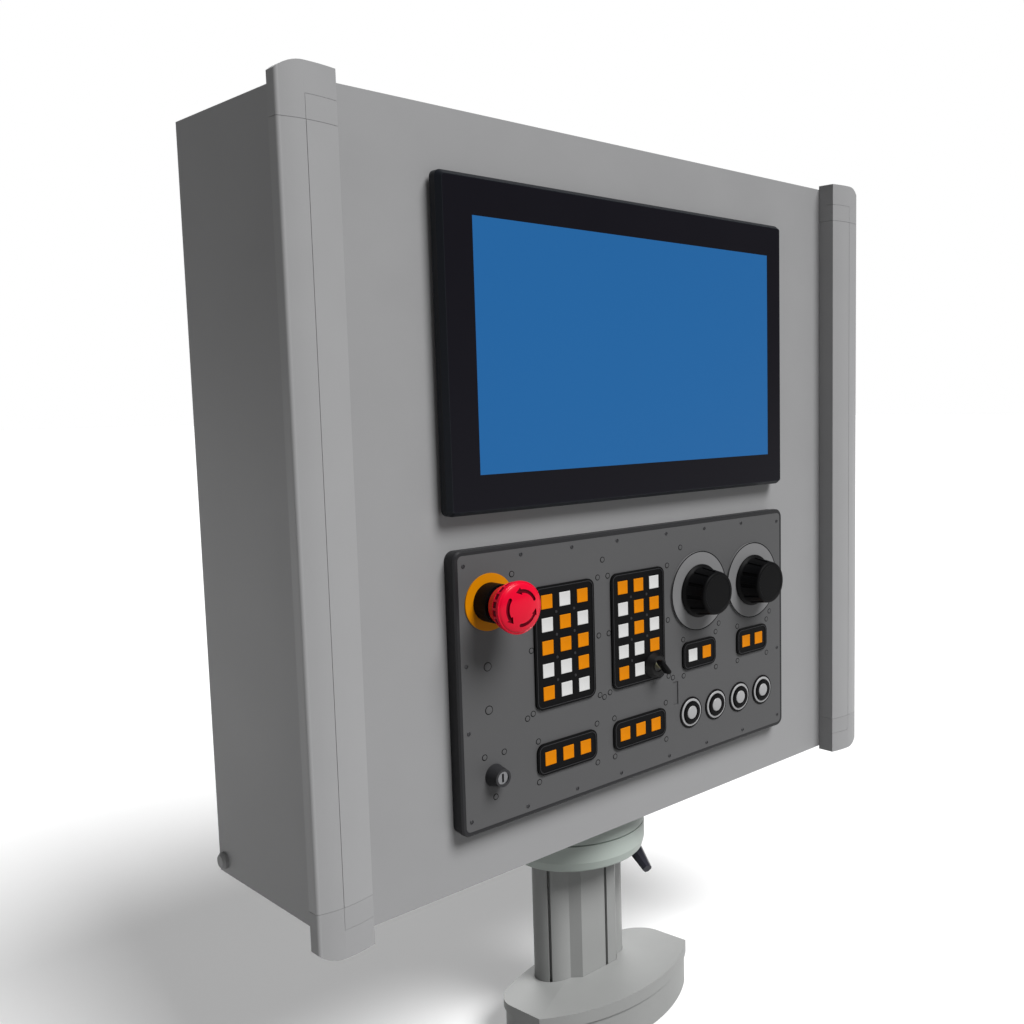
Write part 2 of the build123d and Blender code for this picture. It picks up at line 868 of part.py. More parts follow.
# Display
def make_display_frame():
    """Frame with a bevelled front, a foot set back from its edge and a pocket for the glass."""
    x = display_offset_x
    z = display_z
    front = front_y - display_front
    back = front_y - display_standoff
    shoulder = front + display_bevel_depth
    body = slab(display_width, display_height, display_corner, back, shoulder, x, z)
    outline = RectangleRounded(display_width, display_height, display_corner)
    outline = front_plane(shoulder) * Pos(x, z) * outline
    slope = math.degrees(math.atan2(display_bevel_width, display_bevel_depth))
    body = body + extrude(outline, amount=display_bevel_depth, taper=slope)
    foot = 2 * display_seal_inset
    body = body + slab(display_width - foot, display_height - foot, display_corner, front_y, back, x, z)
    width, height = glass_size()
    body = body - slab(width, height, glass_corner(), front + glass_thickness, front - wall, x, z)
    box_width, box_height = display_box_size()
    hole_width = box_width + 2 * cutout_clearance
    hole_height = box_height + 2 * cutout_clearance
    return body - slab(hole_width, hole_height, wall, front_y + wall, front - wall, x, z)


def glass_corner():
    """Corner radius of the front glass."""
    return display_corner - display_bevel_width


def glass_size():
    """Width and height of the front glass, just inside the frame's bevel."""
    rim = 2 * (display_bevel_width + display_rim)
    return display_width - rim, display_height - rim


def screen_centre():
    """Centre of the lit area."""
    return screen_offset_x, display_z


def make_display_glass():
    """Black front glass with the window for the lit area."""
    front = front_y - display_front
    back = front + glass_thickness
    width, height = glass_size()
    glass = slab(width, height, glass_corner(), back, front, display_offset_x, display_z)
    screen_x, screen_z = screen_centre()
    window = block(
        (screen_x - screen_width / 2, screen_x + screen_width / 2),
        (front - wall, front + screen_thickness),
        (screen_z - screen_height / 2, screen_z + screen_height / 2),
    )
    return glass - window


def make_display_screen():
    """Lit area, let into the glass."""
    front = front_y - display_front
    x, z = screen_centre()
    return block(
        (x - screen_width / 2, x + screen_width / 2),
        (front, front + screen_thickness),
        (z - screen_height / 2, z + screen_height / 2),
    )


def make_display_box():
    """Electronics box behind the glass, with cooling ribs on its back."""
    x = display_offset_x
    z = display_z
    front = front_y - display_front + glass_thickness
    width, height = display_box_size()
    back = front_y + display_box_depth
    box = block((x - width / 2, x + width / 2), (front, back), (z - height / 2, z + height / 2))
    pitch = width / (display_rib_count + 1)
    for index in range(display_rib_count):
        rib_x = x - width / 2 + pitch * (index + 1)
        rib = block(
            (rib_x - display_rib_thickness / 2, rib_x + display_rib_thickness / 2),
            (back, back + display_rib_height),
            (z - height / 2, z + height / 2),
        )
        box = box + rib
    inside = block(
        (x - width / 2 + wall, x + width / 2 - wall),
        (front - wall, back - wall),
        (z - height / 2 + wall, z + height / 2 - wall),
    )
    return box - inside


# Control panel
def make_control_frame():
    """Black edge frame with a chamfered rim, a step round its side and a seat for the faceplate."""
    z = control_z
    step = front_y - control_step
    body = slab(control_width, control_height, control_corner, step, face_y, 0, z)
    edge = body.faces().sort_by(Axis.Y)[0].edges()
    body = chamfer(edge, length=control_rim_chamfer)
    waist = 2 * control_step_depth
    body = body + slab(control_width - waist, control_height - waist, control_corner, front_y, step, 0, z)
    rim = 2 * control_rim
    seat = face_y + faceplate_thickness
    corner = control_corner - control_rim
    body = body - slab(control_width - rim, control_height - rim, corner, seat, face_y - wall, 0, z)
    inner = 2 * control_frame_wall
    hole = slab(control_width - inner, control_height - inner, wall, front_y + wall, face_y - wall, 0, z)
    return body - hole


def key_groups():
    """Every key group as columns, rows and its centre."""
    return [
        (pad_columns, pad_rows, left_keys_x, pad_z),
        (pad_columns, pad_rows, middle_keys_x, pad_z),
        (pad_columns, 1, left_keys_x, lower_keys_z),
        (pad_columns, 1, middle_keys_x, lower_keys_z),
        (axis_columns, 1, dial_x[0] - axis_keys_shift, mode_z),
        (axis_columns, 1, dial_x[1] - axis_keys_shift, mode_z),
    ]


def key_places(columns, rows, x, z):
    """Centres of a group's keys, row by row from the top left."""
    places = []
    for row in range(rows):
        for column in range(columns):
            key_x = x + (column - (columns - 1) / 2) * key_pitch
            key_z = z + ((rows - 1) / 2 - row) * key_pitch
            places.append((key_x, key_z))
    return places


def is_mode_place(x, z):
    """True for the place in the middle pad that the mode switch takes."""
    return abs(x - mode_x) < key_pitch / 2 and abs(z - mode_z) < key_pitch / 2


def screw_places():
    """Centres of the screws round the faceplate's edge."""
    side = control_half - screw_inset
    row = control_height / 2 - screw_inset
    corner = row - screw_corner_drop
    places = [(side * share, height) for share in screw_column_shares for height in (row, -row)]
    places += [(x, height) for x in (-side, side) for height in (corner, -corner)]
    places += [(-side, row * share) for share in screw_left_shares]
    places += [(side, row * share) for share in screw_right_shares]
    return [(x, control_z + height) for x, height in places]


def button_places():
    """Centres of the illuminated pushbuttons."""
    return [(button_first_x + index * button_pitch, lower_keys_z) for index in range(button_count)]


def make_faceplate():
    """Grey plate with windows for the keys, holes for the controls and the service slot."""
    rim = 2 * (control_rim + faceplate_gap)
    corner = control_corner - control_rim
    back = face_y + faceplate_thickness
    plate = slab(control_width - rim, control_height - rim, corner, back, face_y, 0, control_z)
    for columns, rows, x, z in key_groups():
        half_width = columns * key_pitch / 2
        half_height = rows * key_pitch / 2
        plate = plate - block(
            (x - half_width, x + half_width),
            (face_y - wall, back + wall),
            (z - half_height, z + half_height),
        )
    holes = [(estop_x, estop_z, estop_stem_radius + estop_stem_clearance)]
    holes += [(x, dial_z, knob_shaft_radius + knob_shaft_clearance) for x in dial_x]
    holes += [(x, z, button_cap_radius + button_cap_clearance) for x, z in button_places()]
    holes.append((estop_x, lower_keys_z, rotor_radius + rotor_clearance))
    for x, z, radius in holes:
        plate = plate - post(radius, back + wall, face_y - wall, x, z)
    slot_x = button_first_x - slot_to_button
    slot_z = lower_keys_z + slot_above_buttons
    return plate - block(
        (slot_x - slot_width / 2, slot_x + slot_width / 2),
        (face_y - wall, face_y + slot_depth),
        (slot_z - slot_height / 2, slot_z + slot_height / 2),
    )


def make_screws():
    """Small flat screw heads round the faceplate's edge."""
    front = face_y - screw_proud
    return group([prism(screw_radius, screw_sides, face_y, front, x, z) for x, z in screw_places()])


def make_key_frames():
    """The surround of each key group, with one window for each key."""
    frames = []
    for columns, rows, x, z in key_groups():
        width = columns * key_pitch + 2 * key_border
        height = rows * key_pitch + 2 * key_border
        frame = slab(width, height, key_frame_corner, face_y, key_frame_y, x, z)
        back = face_y + wall
        front = key_frame_y - wall
        half = key_width / 2 + key_gap
        for key_x, key_z in key_places(columns, rows, x, z):
            if is_mode_place(key_x, key_z):
                frame = frame - post(mode_base_radius + key_gap, back, front, key_x, key_z)
            else:
                window = block((key_x - half, key_x + half), (front, back), (key_z - half, key_z + half))
                frame = frame - window
        frames.append(frame)
    return group(frames)


def make_key(x, z):
    """One keycap with eased edges and a flange behind the frame."""
    front = key_frame_y - key_proud
    half = key_width / 2
    cap = block((x - half, x + half), (front, face_y + key_gap), (z - half, z + half))
    cap = chamfer(cap.faces().sort_by(Axis.Y)[0].edges(), length=key_edge)
    wide = half + key_flange
    flange = block(
        (x - wide, x + wide),
        (face_y + key_gap, face_y + key_gap + key_flange_thickness),
        (z - wide, z + wide),
    )
    return cap + flange


def keypad_rows(x):
    """The rows of a big pad, each as its own group of keys."""
    places = key_places(pad_columns, pad_rows, x, pad_z)
    rows = []
    for row in range(pad_rows):
        row_places = places[row * pad_columns:(row + 1) * pad_columns]
        rows.append(group([make_key(*place) for place in row_places if not is_mode_place(*place)]))
    return rows


# Emergency stop
def make_estop_ring():
    """Flat yellow ring under the emergency stop."""
    bore = estop_stem_radius + estop_stem_clearance
    ring = post(estop_ring_radius, face_y, face_y - estop_ring_height, estop_x, estop_z)
    return ring - post(bore, face_y + wall, face_y - wall, estop_x, estop_z)


def make_estop_socket():
    """Black round socket that guides the stem."""
    back = face_y - estop_ring_height
    front = face_y - estop_socket_height
    bore = estop_stem_radius + estop_stem_clearance
    body = post(estop_socket_radius, back, front, estop_x, estop_z)
    return body - post(bore, back + wall, front - wall, estop_x, estop_z)


def estop_levels():
    """Heights above the faceplate of the collar, the grip, the head and the dome."""
    collar = estop_socket_height + estop_travel + estop_stem_clearance
    grip = collar + estop_collar_height
    head = grip + estop_grip_height
    rim = head + estop_head_height
    return collar, grip, head, rim


def make_estop_plunger():
    """Stem with the flared red collar that goes in when the button is struck."""
    collar, grip, head, rim = estop_levels()
    stem_end = -faceplate_thickness - block_gap
    return turned([
        (0, stem_end),
        (estop_stem_radius, stem_end),
        (estop_stem_radius, collar),
        (estop_collar_radius, collar),
        (estop_collar_flare, grip - estop_stem_clearance),
        (estop_pin_radius, grip - estop_stem_clearance),
        (estop_pin_radius, grip + estop_pin_length),
        (0, grip + estop_pin_length),
    ], estop_x, face_y, estop_z, forward=True)


def make_estop_mushroom():
    """Ribbed grip and domed head that turn on the collar to release the stop."""
    collar, grip, head, rim = estop_levels()
    bore = estop_pin_radius + spigot_clearance
    pocket = grip + estop_pin_length + estop_stem_clearance
    top = rim + estop_dome
    body = turned([
        (0, head),
        (estop_head_radius - estop_head_edge, head),
        (estop_head_radius, head + estop_head_edge),
        (estop_head_radius, rim),
        (estop_shoulder_radius, rim + estop_shoulder),
        (0, top),
    ])
    ribbed = fluted(estop_grip_radius, estop_grip_radius - estop_rib_depth, estop_ribs)
    body = body + Pos(0, 0, grip) * extrude(ribbed, amount=estop_grip_height)
    body = body - Pos(0, 0, (grip + pocket) / 2) * Cylinder(bore, pocket - grip)
    return Pos(estop_x, face_y, estop_z) * Rot(90, 0, 0) * body


# Override dials
def make_dial_plates():
    """The two round scale plates."""
    plates = []
    for x in dial_x:
        plate = post(dial_radius, face_y, face_y - dial_thickness, x, dial_z)
        bore = knob_shaft_radius + knob_gap
        plates.append(plate - post(bore, face_y + wall, face_y - 2 * wall, x, dial_z))
    return group(plates)


def make_knob(x):
    """Skirted knob with a tapered fluted grip on its shaft."""
    start = dial_thickness + knob_gap
    skirt_top = start + knob_skirt_height
    shaft_end = -faceplate_thickness - block_gap
    grip_base = (knob_skirt_radius + knob_top_radius) / 2
    grip_height = knob_height - knob_skirt_height
    body = turned([
        (0, shaft_end),
        (knob_shaft_radius, shaft_end),
        (knob_shaft_radius, start),
        (knob_skirt_radius, start),
        (knob_skirt_radius, start + knob_skirt_height / 2),
        (grip_base, skirt_top),
        (0, skirt_top),
    ])
    sections = []
    for radius, height in (
        (grip_base, 0),
        (knob_top_radius, grip_height - knob_edge),
        (knob_top_radius - knob_edge, grip_height),
    ):
        outline = fluted(radius, radius * (1 - knob_flute_share), knob_flutes)
        sections.append(Pos(0, 0, skirt_top + height) * outline)
    body = body + loft(sections, ruled=True)
    return Pos(x, face_y, dial_z) * Rot(90, 0, 0) * body


# Pushbuttons
def make_button_bezels():
    """Black bezel and raised light ring of each pushbutton."""
    bore = button_cap_radius + button_cap_clearance
    bezels = []
    for x, z in button_places():
        bezels.append(turned([
            (bore, 0),
            (button_bezel_radius, 0),
            (button_bezel_radius, button_bezel_height),
            (button_ring_radius, button_bezel_height),
            (button_ring_radius, button_ring_height),
            (bore, button_ring_height),
        ], x, face_y, z, forward=True))
    return group(bezels)


def make_button(x, z):
    """Pushbutton cap that slides in the faceplate."""
    back = face_y + faceplate_thickness + block_gap
    return post(button_cap_radius, back, face_y - button_cap_proud, x, z)


# Key switches
def make_switch_bodies():
    """Tapered bodies of the key switch and of the mode switch, each with a bore for its rotor."""
    bore = rotor_radius + rotor_clearance
    key_switch = turned([
        (bore, 0),
        (switch_base_radius, 0),
        (switch_front_radius, switch_height),
        (bore, switch_height),
    ], estop_x, face_y, lower_keys_z, forward=True)
    mode_switch = turned([
        (bore, face_y - board_y),
        (mode_base_radius, face_y - board_y),
        (mode_base_radius, key_frame_height),
        (mode_skirt_radius, key_frame_height),
        (mode_front_radius, mode_height),
        (bore, mode_height),
    ], mode_x, face_y, mode_z, forward=True)
    return group([key_switch, mode_switch])


def make_rotor(x, z, top):
    """Lock cylinder up to a height above the faceplate."""
    back = face_y + faceplate_thickness + block_gap
    return post(rotor_radius, back, face_y - top, x, z)


def make_keyswitch_rotor():
    """Lock cylinder of the key switch with its keyway, without a key."""
    top = switch_height - rotor_recess
    keyway = block(
        (estop_x - keyway_width / 2, estop_x + keyway_width / 2),
        (face_y - top - wall, face_y - top + keyway_depth),
        (lower_keys_z - keyway_length / 2, lower_keys_z + keyway_length / 2),
    )
    return make_rotor(estop_x, lower_keys_z, top) - keyway


def make_mode_key():
    """Lock cylinder of the mode switch with its key in, turned to its first position."""
    top = mode_height - rotor_recess
    blade_end = face_y - top - rotor_recess - key_blade_length
    blade = block(
        (mode_x - key_blade_thickness / 2, mode_x + key_blade_thickness / 2),
        (blade_end, face_y - top),
        (mode_z - key_blade_width / 2, mode_z + key_blade_width / 2),
    )
    outline = RectangleRounded(key_bow_depth, key_bow_width, key_bow_corner)
    outline = Plane.YZ.offset(-key_bow_thickness / 2) * outline
    bow = extrude(outline, amount=key_bow_thickness)
    bow = Pos(mode_x, blade_end - key_bow_depth / 2, mode_z) * bow
    key = make_rotor(mode_x, mode_z, top) + blade + bow
    centre = Pos(mode_x, 0, mode_z)
    return centre * Rot(0, mode_key_rest_angle, 0) * centre.inverse() * key


# Contact blocks
def make_switch_blocks():
    """Key boards and contact blocks behind the faceplate."""
    back = face_y + faceplate_thickness
    pieces = []
    for columns, rows, x, z in key_groups():
        width = columns * key_pitch / 2
        height = rows * key_pitch / 2
        outer_width = width + board_rim
        outer_height = height + board_rim
        tray = block(
            (x - outer_width, x + outer_width),
            (back, board_y + key_module_depth),
            (z - outer_height, z + outer_height),
        )
        well = block((x - width, x + width), (back - wall, board_y), (z - height, z + height))
        pieces.append(tray - well)
    places = [(estop_x, estop_z), (dial_x[0], dial_z), (dial_x[1], dial_z), (estop_x, lower_keys_z)]
    places += button_places()
    bore = button_cap_radius + button_cap_clearance
    bore_end = back + block_gap + estop_travel + block_gap
    for x, z in places:
        body = block(
            (x - block_width / 2, x + block_width / 2),
            (back, back + block_depth),
            (z - block_height / 2, z + block_height / 2),
        )
        pocket = block((x - bore, x + bore), (back - wall, bore_end), (z - bore, z + bore))
        pieces.append(body - pocket)
    return group(pieces)


# All nodes by name
lower_groups = key_groups()[2:4]
axis_groups = key_groups()[4:6]
function_places = [place for item in lower_groups for place in key_places(*item)]
axis_places = [place for item in axis_groups for place in key_places(*item)]
lower_lock_place, upper_lock_place = lock_places()

nodes = {
    "base_casting": make_base(),
    "column_profile": make_column(),
    "coupling_ring": make_coupling_ring(),
    "clamp_lever": make_clamp_lever(),
    "coupling_flange": make_coupling_flange(),
    "housing_wrapper": make_wrapper(),
    "front_plate": make_front_plate(),
    "handle_profiles": make_rails(),
    "handle_cover_strips": make_strips(),
    "handle_end_caps": make_end_caps(),
    "vent_plug": make_vent_plug(),
    "door_hinges": make_hinges(),
    "rear_door": make_door(),
    "door_seal": make_door_seal(),
    "upper_lock": make_lock(*upper_lock_place),
    "lower_lock": make_lock(*lower_lock_place),
    "display_frame": make_display_frame(),
    "display_glass": make_display_glass(),
    "display_screen": make_display_screen(),
    "display_back_box": make_display_box(),
    "control_frame": make_control_frame(),
    "control_faceplate": make_faceplate(),
    "faceplate_screws": make_screws(),
    "key_frames": make_key_frames(),
    "estop_ring": make_estop_ring(),
    "estop_socket": make_estop_socket(),
    "estop_plunger": make_estop_plunger(),
    "estop_mushroom": make_estop_mushroom(),
    "dial_plates": make_dial_plates(),
    "feed_override_knob": make_knob(dial_x[0]),
    "spindle_override_knob": make_knob(dial_x[1]),
    "pushbutton_bezels": make_button_bezels(),
    "key_switch_bodies": make_switch_bodies(),
    "keyswitch_rotor": make_keyswitch_rotor(),
    "mode_key": make_mode_key(),
    "switch_blocks": make_switch_blocks(),
}
for number, row in enumerate(keypad_rows(left_keys_x), start=1):
    nodes[f"keypad_left_row_{number}"] = row
for number, row in enumerate(keypad_rows(middle_keys_x), start=1):
    nodes[f"keypad_right_row_{number}"] = row
for number, place in enumerate(function_places, start=1):
    nodes[f"function_key_{number}"] = make_key(*place)
for number, place in enumerate(axis_places, start=1):
    nodes[f"axis_key_{number}"] = make_key(*place)
for number, place in enumerate(button_places(), start=1):
    nodes[f"pushbutton_{number}"] = make_button(*place)

os.makedirs("parts", exist_ok=True)
for name, shape in nodes.items():
    export_step(shape, f"parts/{name}.step")
print(f"{len(nodes)} nodes written")
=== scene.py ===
# %% [markdown]
# # An operator panel on its stand
# The panel is a sheet-steel housing with a flat display, a field of keys, dials and an emergency
# stop. It turns on a coupling on top of an extruded column. The sizes come from the CAD model, so
# this lesson spends its effort on finishes, on light and on the small parts that a hand touches.

# %% Load the model
import math

import bpy
import bmesh
from mathutils import Matrix, Vector


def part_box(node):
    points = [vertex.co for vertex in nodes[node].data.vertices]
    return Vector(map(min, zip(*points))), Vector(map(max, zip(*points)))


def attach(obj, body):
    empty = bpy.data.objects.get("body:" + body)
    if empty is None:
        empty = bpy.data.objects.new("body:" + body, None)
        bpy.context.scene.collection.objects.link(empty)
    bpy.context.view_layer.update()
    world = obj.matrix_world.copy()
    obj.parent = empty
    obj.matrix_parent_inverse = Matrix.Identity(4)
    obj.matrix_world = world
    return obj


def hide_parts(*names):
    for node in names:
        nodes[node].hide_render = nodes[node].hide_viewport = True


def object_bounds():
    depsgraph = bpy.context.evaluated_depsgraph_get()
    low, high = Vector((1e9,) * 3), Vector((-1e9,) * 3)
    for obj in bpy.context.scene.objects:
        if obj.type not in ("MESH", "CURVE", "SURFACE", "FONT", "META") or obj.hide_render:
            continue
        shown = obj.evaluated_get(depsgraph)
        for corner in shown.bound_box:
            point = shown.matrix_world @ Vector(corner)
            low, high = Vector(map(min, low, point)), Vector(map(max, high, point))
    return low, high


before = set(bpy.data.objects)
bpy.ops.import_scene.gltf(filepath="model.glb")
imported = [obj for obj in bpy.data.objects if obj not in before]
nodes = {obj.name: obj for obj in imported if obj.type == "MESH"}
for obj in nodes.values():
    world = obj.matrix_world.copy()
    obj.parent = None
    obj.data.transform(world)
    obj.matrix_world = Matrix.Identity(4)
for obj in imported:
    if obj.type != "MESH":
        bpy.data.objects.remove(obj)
cad_box = [list(corner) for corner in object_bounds()]
print(len(nodes), "nodes, from", cad_box[0], "to", cad_box[1])

# %% [markdown]
# ## Colour management
# A product picture should show each colour as it was written. The Standard view does that, and the
# other view settings stay as they are.

# %% Set the view
scene = bpy.context.scene
scene.view_settings.view_transform = "Standard"
mm = 0.001
print("view:", scene.view_settings.view_transform)

# %% [markdown]
# ## Colours
# Paint charts and screens give colours in sRGB, but shaders work with linear light. One small
# function turns three numbers from 0 to 255 into the linear colour that a shader socket expects.

# %% Colour helper
dark_limit = 0.04045
dark_slope = 12.92
curve_offset = 0.055
curve_power = 2.4


def tint(red, green, blue):
    """Linear colour from sRGB numbers."""
    linear = []
    for value in (red, green, blue):
        share = value / 255
        if share <= dark_limit:
            linear.append(share / dark_slope)
        else:
            linear.append(((share + curve_offset) / (1 + curve_offset)) ** curve_power)
    return (*linear, 1.0)


print("housing grey in linear light:", [round(value, 3) for value in tint(151, 151, 152)])

# %% [markdown]
# ## A finish made of layers
# Real paint and plastic are never one flat colour. This helper lays a broad, faint mottling over
# the base colour, lets the roughness wander a little, and adds a fine grain as a bump. All of it
# reads Object coordinates, so it stays in place when the panel turns.

# %% Finish helper
coat_roughness = 0.12
roughness_wander = 0.05
broad_detail = 4
fine_detail = 3
grain_strength = 0.5


def finish(name, colour, roughness, grain, grain_size, mottling=0.04, mottling_size=0.06,
           metallic=0.0, coat=0.0, shine=0.3):
    """A material with mottled colour, wandering roughness and a fine grain."""
    material = bpy.data.materials.new(name)
    material.use_nodes = True
    tree = material.node_tree
    shader = tree.nodes["Principled BSDF"]
    shader.inputs["Metallic"].default_value = metallic
    shader.inputs["Coat Weight"].default_value = coat
    shader.inputs["Coat Roughness"].default_value = coat_roughness
    shader.inputs["Specular IOR Level"].default_value = shine
    place = tree.nodes.new("ShaderNodeTexCoord")
    broad = tree.nodes.new("ShaderNodeTexNoise")
    broad.inputs["Scale"].default_value = 1 / mottling_size
    broad.inputs["Detail"].default_value = broad_detail
    fine = tree.nodes.new("ShaderNodeTexNoise")
    fine.inputs["Scale"].default_value = 1 / grain_size
    fine.inputs["Detail"].default_value = fine_detail
    mix = tree.nodes.new("ShaderNodeMix")
    mix.data_type = "RGBA"
    darker = [value * (1 - mottling) for value in colour[:3]]
    lighter = [min(1, value * (1 + mottling)) for value in colour[:3]]
    mix.inputs["A"].default_value = (*darker, 1)
    mix.inputs["B"].default_value = (*lighter, 1)
    spread = tree.nodes.new("ShaderNodeMapRange")
    spread.inputs["To Min"].default_value = roughness - roughness_wander
    spread.inputs["To Max"].default_value = roughness + roughness_wander
    bump = tree.nodes.new("ShaderNodeBump")
    bump.inputs["Strength"].default_value = grain_strength
    bump.inputs["Distance"].default_value = grain
    tree.links.new(place.outputs["Object"], broad.inputs["Vector"])
    tree.links.new(place.outputs["Object"], fine.inputs["Vector"])
    tree.links.new(broad.outputs["Fac"], mix.inputs["Factor"])
    tree.links.new(mix.outputs["Result"], shader.inputs["Base Color"])
    tree.links.new(broad.outputs["Fac"], spread.inputs["Value"])
    tree.links.new(spread.outputs["Result"], shader.inputs["Roughness"])
    tree.links.new(fine.outputs["Fac"], bump.inputs["Height"])
    tree.links.new(bump.outputs["Normal"], shader.inputs["Normal"])
    return material


print("finish helper ready")

# %% [markdown]
# ## Paints
# The housing, rails and stand have a powder coat: semi-matt, with the fine orange peel that the
# powder leaves when it melts. The coupling is a casting in a slightly green grey. Each finish is
# given its colour, its roughness, and the depth and size of its grain in metres.

# %% Paint finishes
housing_paint = finish("housing_paint", tint(151, 151, 152), 0.46, 0.00006, 0.0016)
rail_paint = finish("rail_paint", tint(157, 157, 158), 0.4, 0.00004, 0.0012)
cap_grain = finish("cap_grain", tint(155, 155, 156), 0.52, 0.00008, 0.0009)
coupling_paint = finish("coupling_paint", tint(178, 187, 181), 0.42, 0.00006, 0.0018)
column_paint = finish("column_paint", tint(150, 151, 150), 0.44, 0.00005, 0.0014)
base_paint = finish("base_paint", tint(152, 153, 152), 0.5, 0.00015, 0.0024, mottling=0.07)
lever_paint = finish("lever_paint", tint(44, 44, 52), 0.38, 0.00008, 0.0014)
print("seven paints")

# %% [markdown]
# ## Plastics, film and metal
# Switches are moulded: the caps are satin, the frames matt, and the emergency stop is glossy. The
# faceplate is a printed film on a plate. The screen and its glass are smooth and reflect a little.

# %% Plastic and metal finishes
black_plastic = finish("black_plastic", tint(6, 6, 7), 0.5, 0.00004, 0.0007, shine=0.07)
bezel_black = finish("bezel_black", tint(20, 19, 25), 0.3, 0.00001, 0.0008, shine=0.06)
panel_rim = finish("panel_rim", tint(34, 34, 36), 0.45, 0.00003, 0.0008, shine=0.2)
frame_black = finish("frame_black", tint(17, 20, 26), 0.4, 0.00003, 0.0008, shine=0.15)
screen_blue = finish("screen_blue", tint(36, 100, 160), 0.35, 0.00001, 0.0006, mottling=0.02,
                     mottling_size=0.3, shine=0.1)
faceplate_grey = finish("faceplate_grey", tint(82, 82, 83), 0.6, 0.00003, 0.0006)
dial_grey = finish("dial_grey", tint(120, 120, 121), 0.5, 0.00002, 0.0006)
orange_cap = finish("orange_cap", tint(219, 130, 0), 0.45, 0.00002, 0.0006, shine=0.1)
white_cap = finish("white_cap", tint(214, 214, 213), 0.45, 0.00002, 0.0006, shine=0.15)
stop_yellow = finish("stop_yellow", tint(206, 128, 0), 0.45, 0.00002, 0.0008, shine=0.1)
stop_red = finish("stop_red", tint(228, 0, 46), 0.3, 0.00001, 0.001, coat=0.1, shine=0.15)
# A darker red, painted as shade in the slots between the ribs and in the arrow recesses.
stop_red_painted_shade = finish("stop_red_painted_shade", tint(104, 0, 22), 0.5, 0.00001, 0.001, shine=0.1)
light_ring = finish("light_ring", tint(166, 166, 167), 0.35, 0.00001, 0.0008)
lens_grey = finish("lens_grey", tint(164, 164, 165), 0.3, 0.00001, 0.0008)
lip_grey = finish("lip_grey", tint(40, 40, 42), 0.5, 0.00002, 0.0006, shine=0.2)
zinc = finish("zinc", tint(170, 170, 172), 0.36, 0.00003, 0.0009, metallic=0.9)
screw_dark = finish("screw_dark", tint(60, 60, 62), 0.4, 0.00003, 0.0009, metallic=0.6)
lock_chrome = finish("lock_chrome", tint(120, 120, 122), 0.28, 0.00002, 0.0009, metallic=0.9)
brass = finish("brass", tint(172, 170, 128), 0.32, 0.00002, 0.0009, metallic=0.7)
seal_rubber = finish("seal_rubber", tint(24, 24, 25), 0.75, 0.0001, 0.0012)
print(len(bpy.data.materials), "materials in the file")

# %% [markdown]
# The bodies of the key switch and of the mode switch are one node, but the first is dark grey and
# the second black. So their finish looks at the Object coordinate across the panel, and changes
# colour between the two.

# %% A finish with two colours
colour_border = -100 * mm
switch_bodies = finish("switch_bodies", tint(44, 44, 46), 0.45, 0.00003, 0.0008, shine=0.2)
tree = switch_bodies.node_tree
shader = tree.nodes["Principled BSDF"]
place = tree.nodes.new("ShaderNodeTexCoord")
across = tree.nodes.new("ShaderNodeSeparateXYZ")
far_side = tree.nodes.new("ShaderNodeMath")
far_side.operation = "GREATER_THAN"
far_side.inputs[1].default_value = colour_border
either = tree.nodes.new("ShaderNodeMix")
either.data_type = "RGBA"
either.inputs["B"].default_value = tint(6, 6, 7)
mottled = shader.inputs["Base Color"].links[0].from_socket
tree.links.new(place.outputs["Object"], across.inputs["Vector"])
tree.links.new(across.outputs["X"], far_side.inputs[0])
tree.links.new(far_side.outputs[0], either.inputs["Factor"])
tree.links.new(mottled, either.inputs["A"])
tree.links.new(either.outputs["Result"], shader.inputs["Base Color"])
print("the colour changes at x =", round(colour_border / mm), "mm")

# %% [markdown]
# ## Dress the CAD nodes
# A node whose shape is already right keeps its mesh and only gets its finish. A line for each
# finish keeps this readable, and a node that is forgotten would show up in the count. The keys
# aren't listed, because caps take their places.

# %% Give each node its finish
def dress(material, *names):
    """Puts a finish on CAD nodes."""
    for name in names:
        node = nodes[name]
        if not node.material_slots:
            node.data.materials.append(material)
        for slot in node.material_slots:
            slot.material = material


dress(housing_paint, "housing_wrapper", "front_plate", "rear_door")
dress(rail_paint, "handle_profiles", "handle_cover_strips")
dress(cap_grain, "handle_end_caps")
dress(coupling_paint, "coupling_ring", "coupling_flange")
dress(column_paint, "column_profile")
dress(base_paint, "base_casting")
dress(lever_paint, "clamp_lever")
dress(cap_grain, "vent_plug")
dress(zinc, "door_hinges", "display_back_box")
dress(lock_chrome, "upper_lock", "lower_lock", "keyswitch_rotor")
dress(seal_rubber, "door_seal")
dress(frame_black, "display_frame")
dress(bezel_black, "display_glass")
dress(screen_blue, "display_screen")
dress(faceplate_grey, "control_faceplate")
dress(dial_grey, "dial_plates")
dress(stop_yellow, "estop_ring")
dress(stop_red, "estop_plunger", "estop_mushroom")
dress(screw_dark, "faceplate_screws")
dress(panel_rim, "control_frame")
dress(switch_bodies, "key_switch_bodies")
dress(black_plastic, "key_frames", "estop_socket", "switch_blocks")
dress(black_plastic, "feed_override_knob", "spindle_override_knob", "pushbutton_bezels", "mode_key")
button_nodes = [f"pushbutton_{number}" for number in range(1, 5)]
dress(black_plastic, *button_nodes)
print("dressed", sum(1 for node in nodes.values() if node.material_slots), "nodes")

# %% [markdown]
# ## Working by hand, in code
# The loader leaves the CAD nodes selected, and an operator changes all that is selected. So each
# new piece starts from an empty selection. Faces are then picked by where they lie or which way
# they look, which does the same as clicking them.

# %% Selection helpers
def select_nothing():
    """Leaves edit mode and clears the selection."""
    if bpy.context.object and bpy.context.object.mode != "OBJECT":
        bpy.ops.object.mode_set(mode="OBJECT")
    bpy.ops.object.select_all(action="DESELECT")


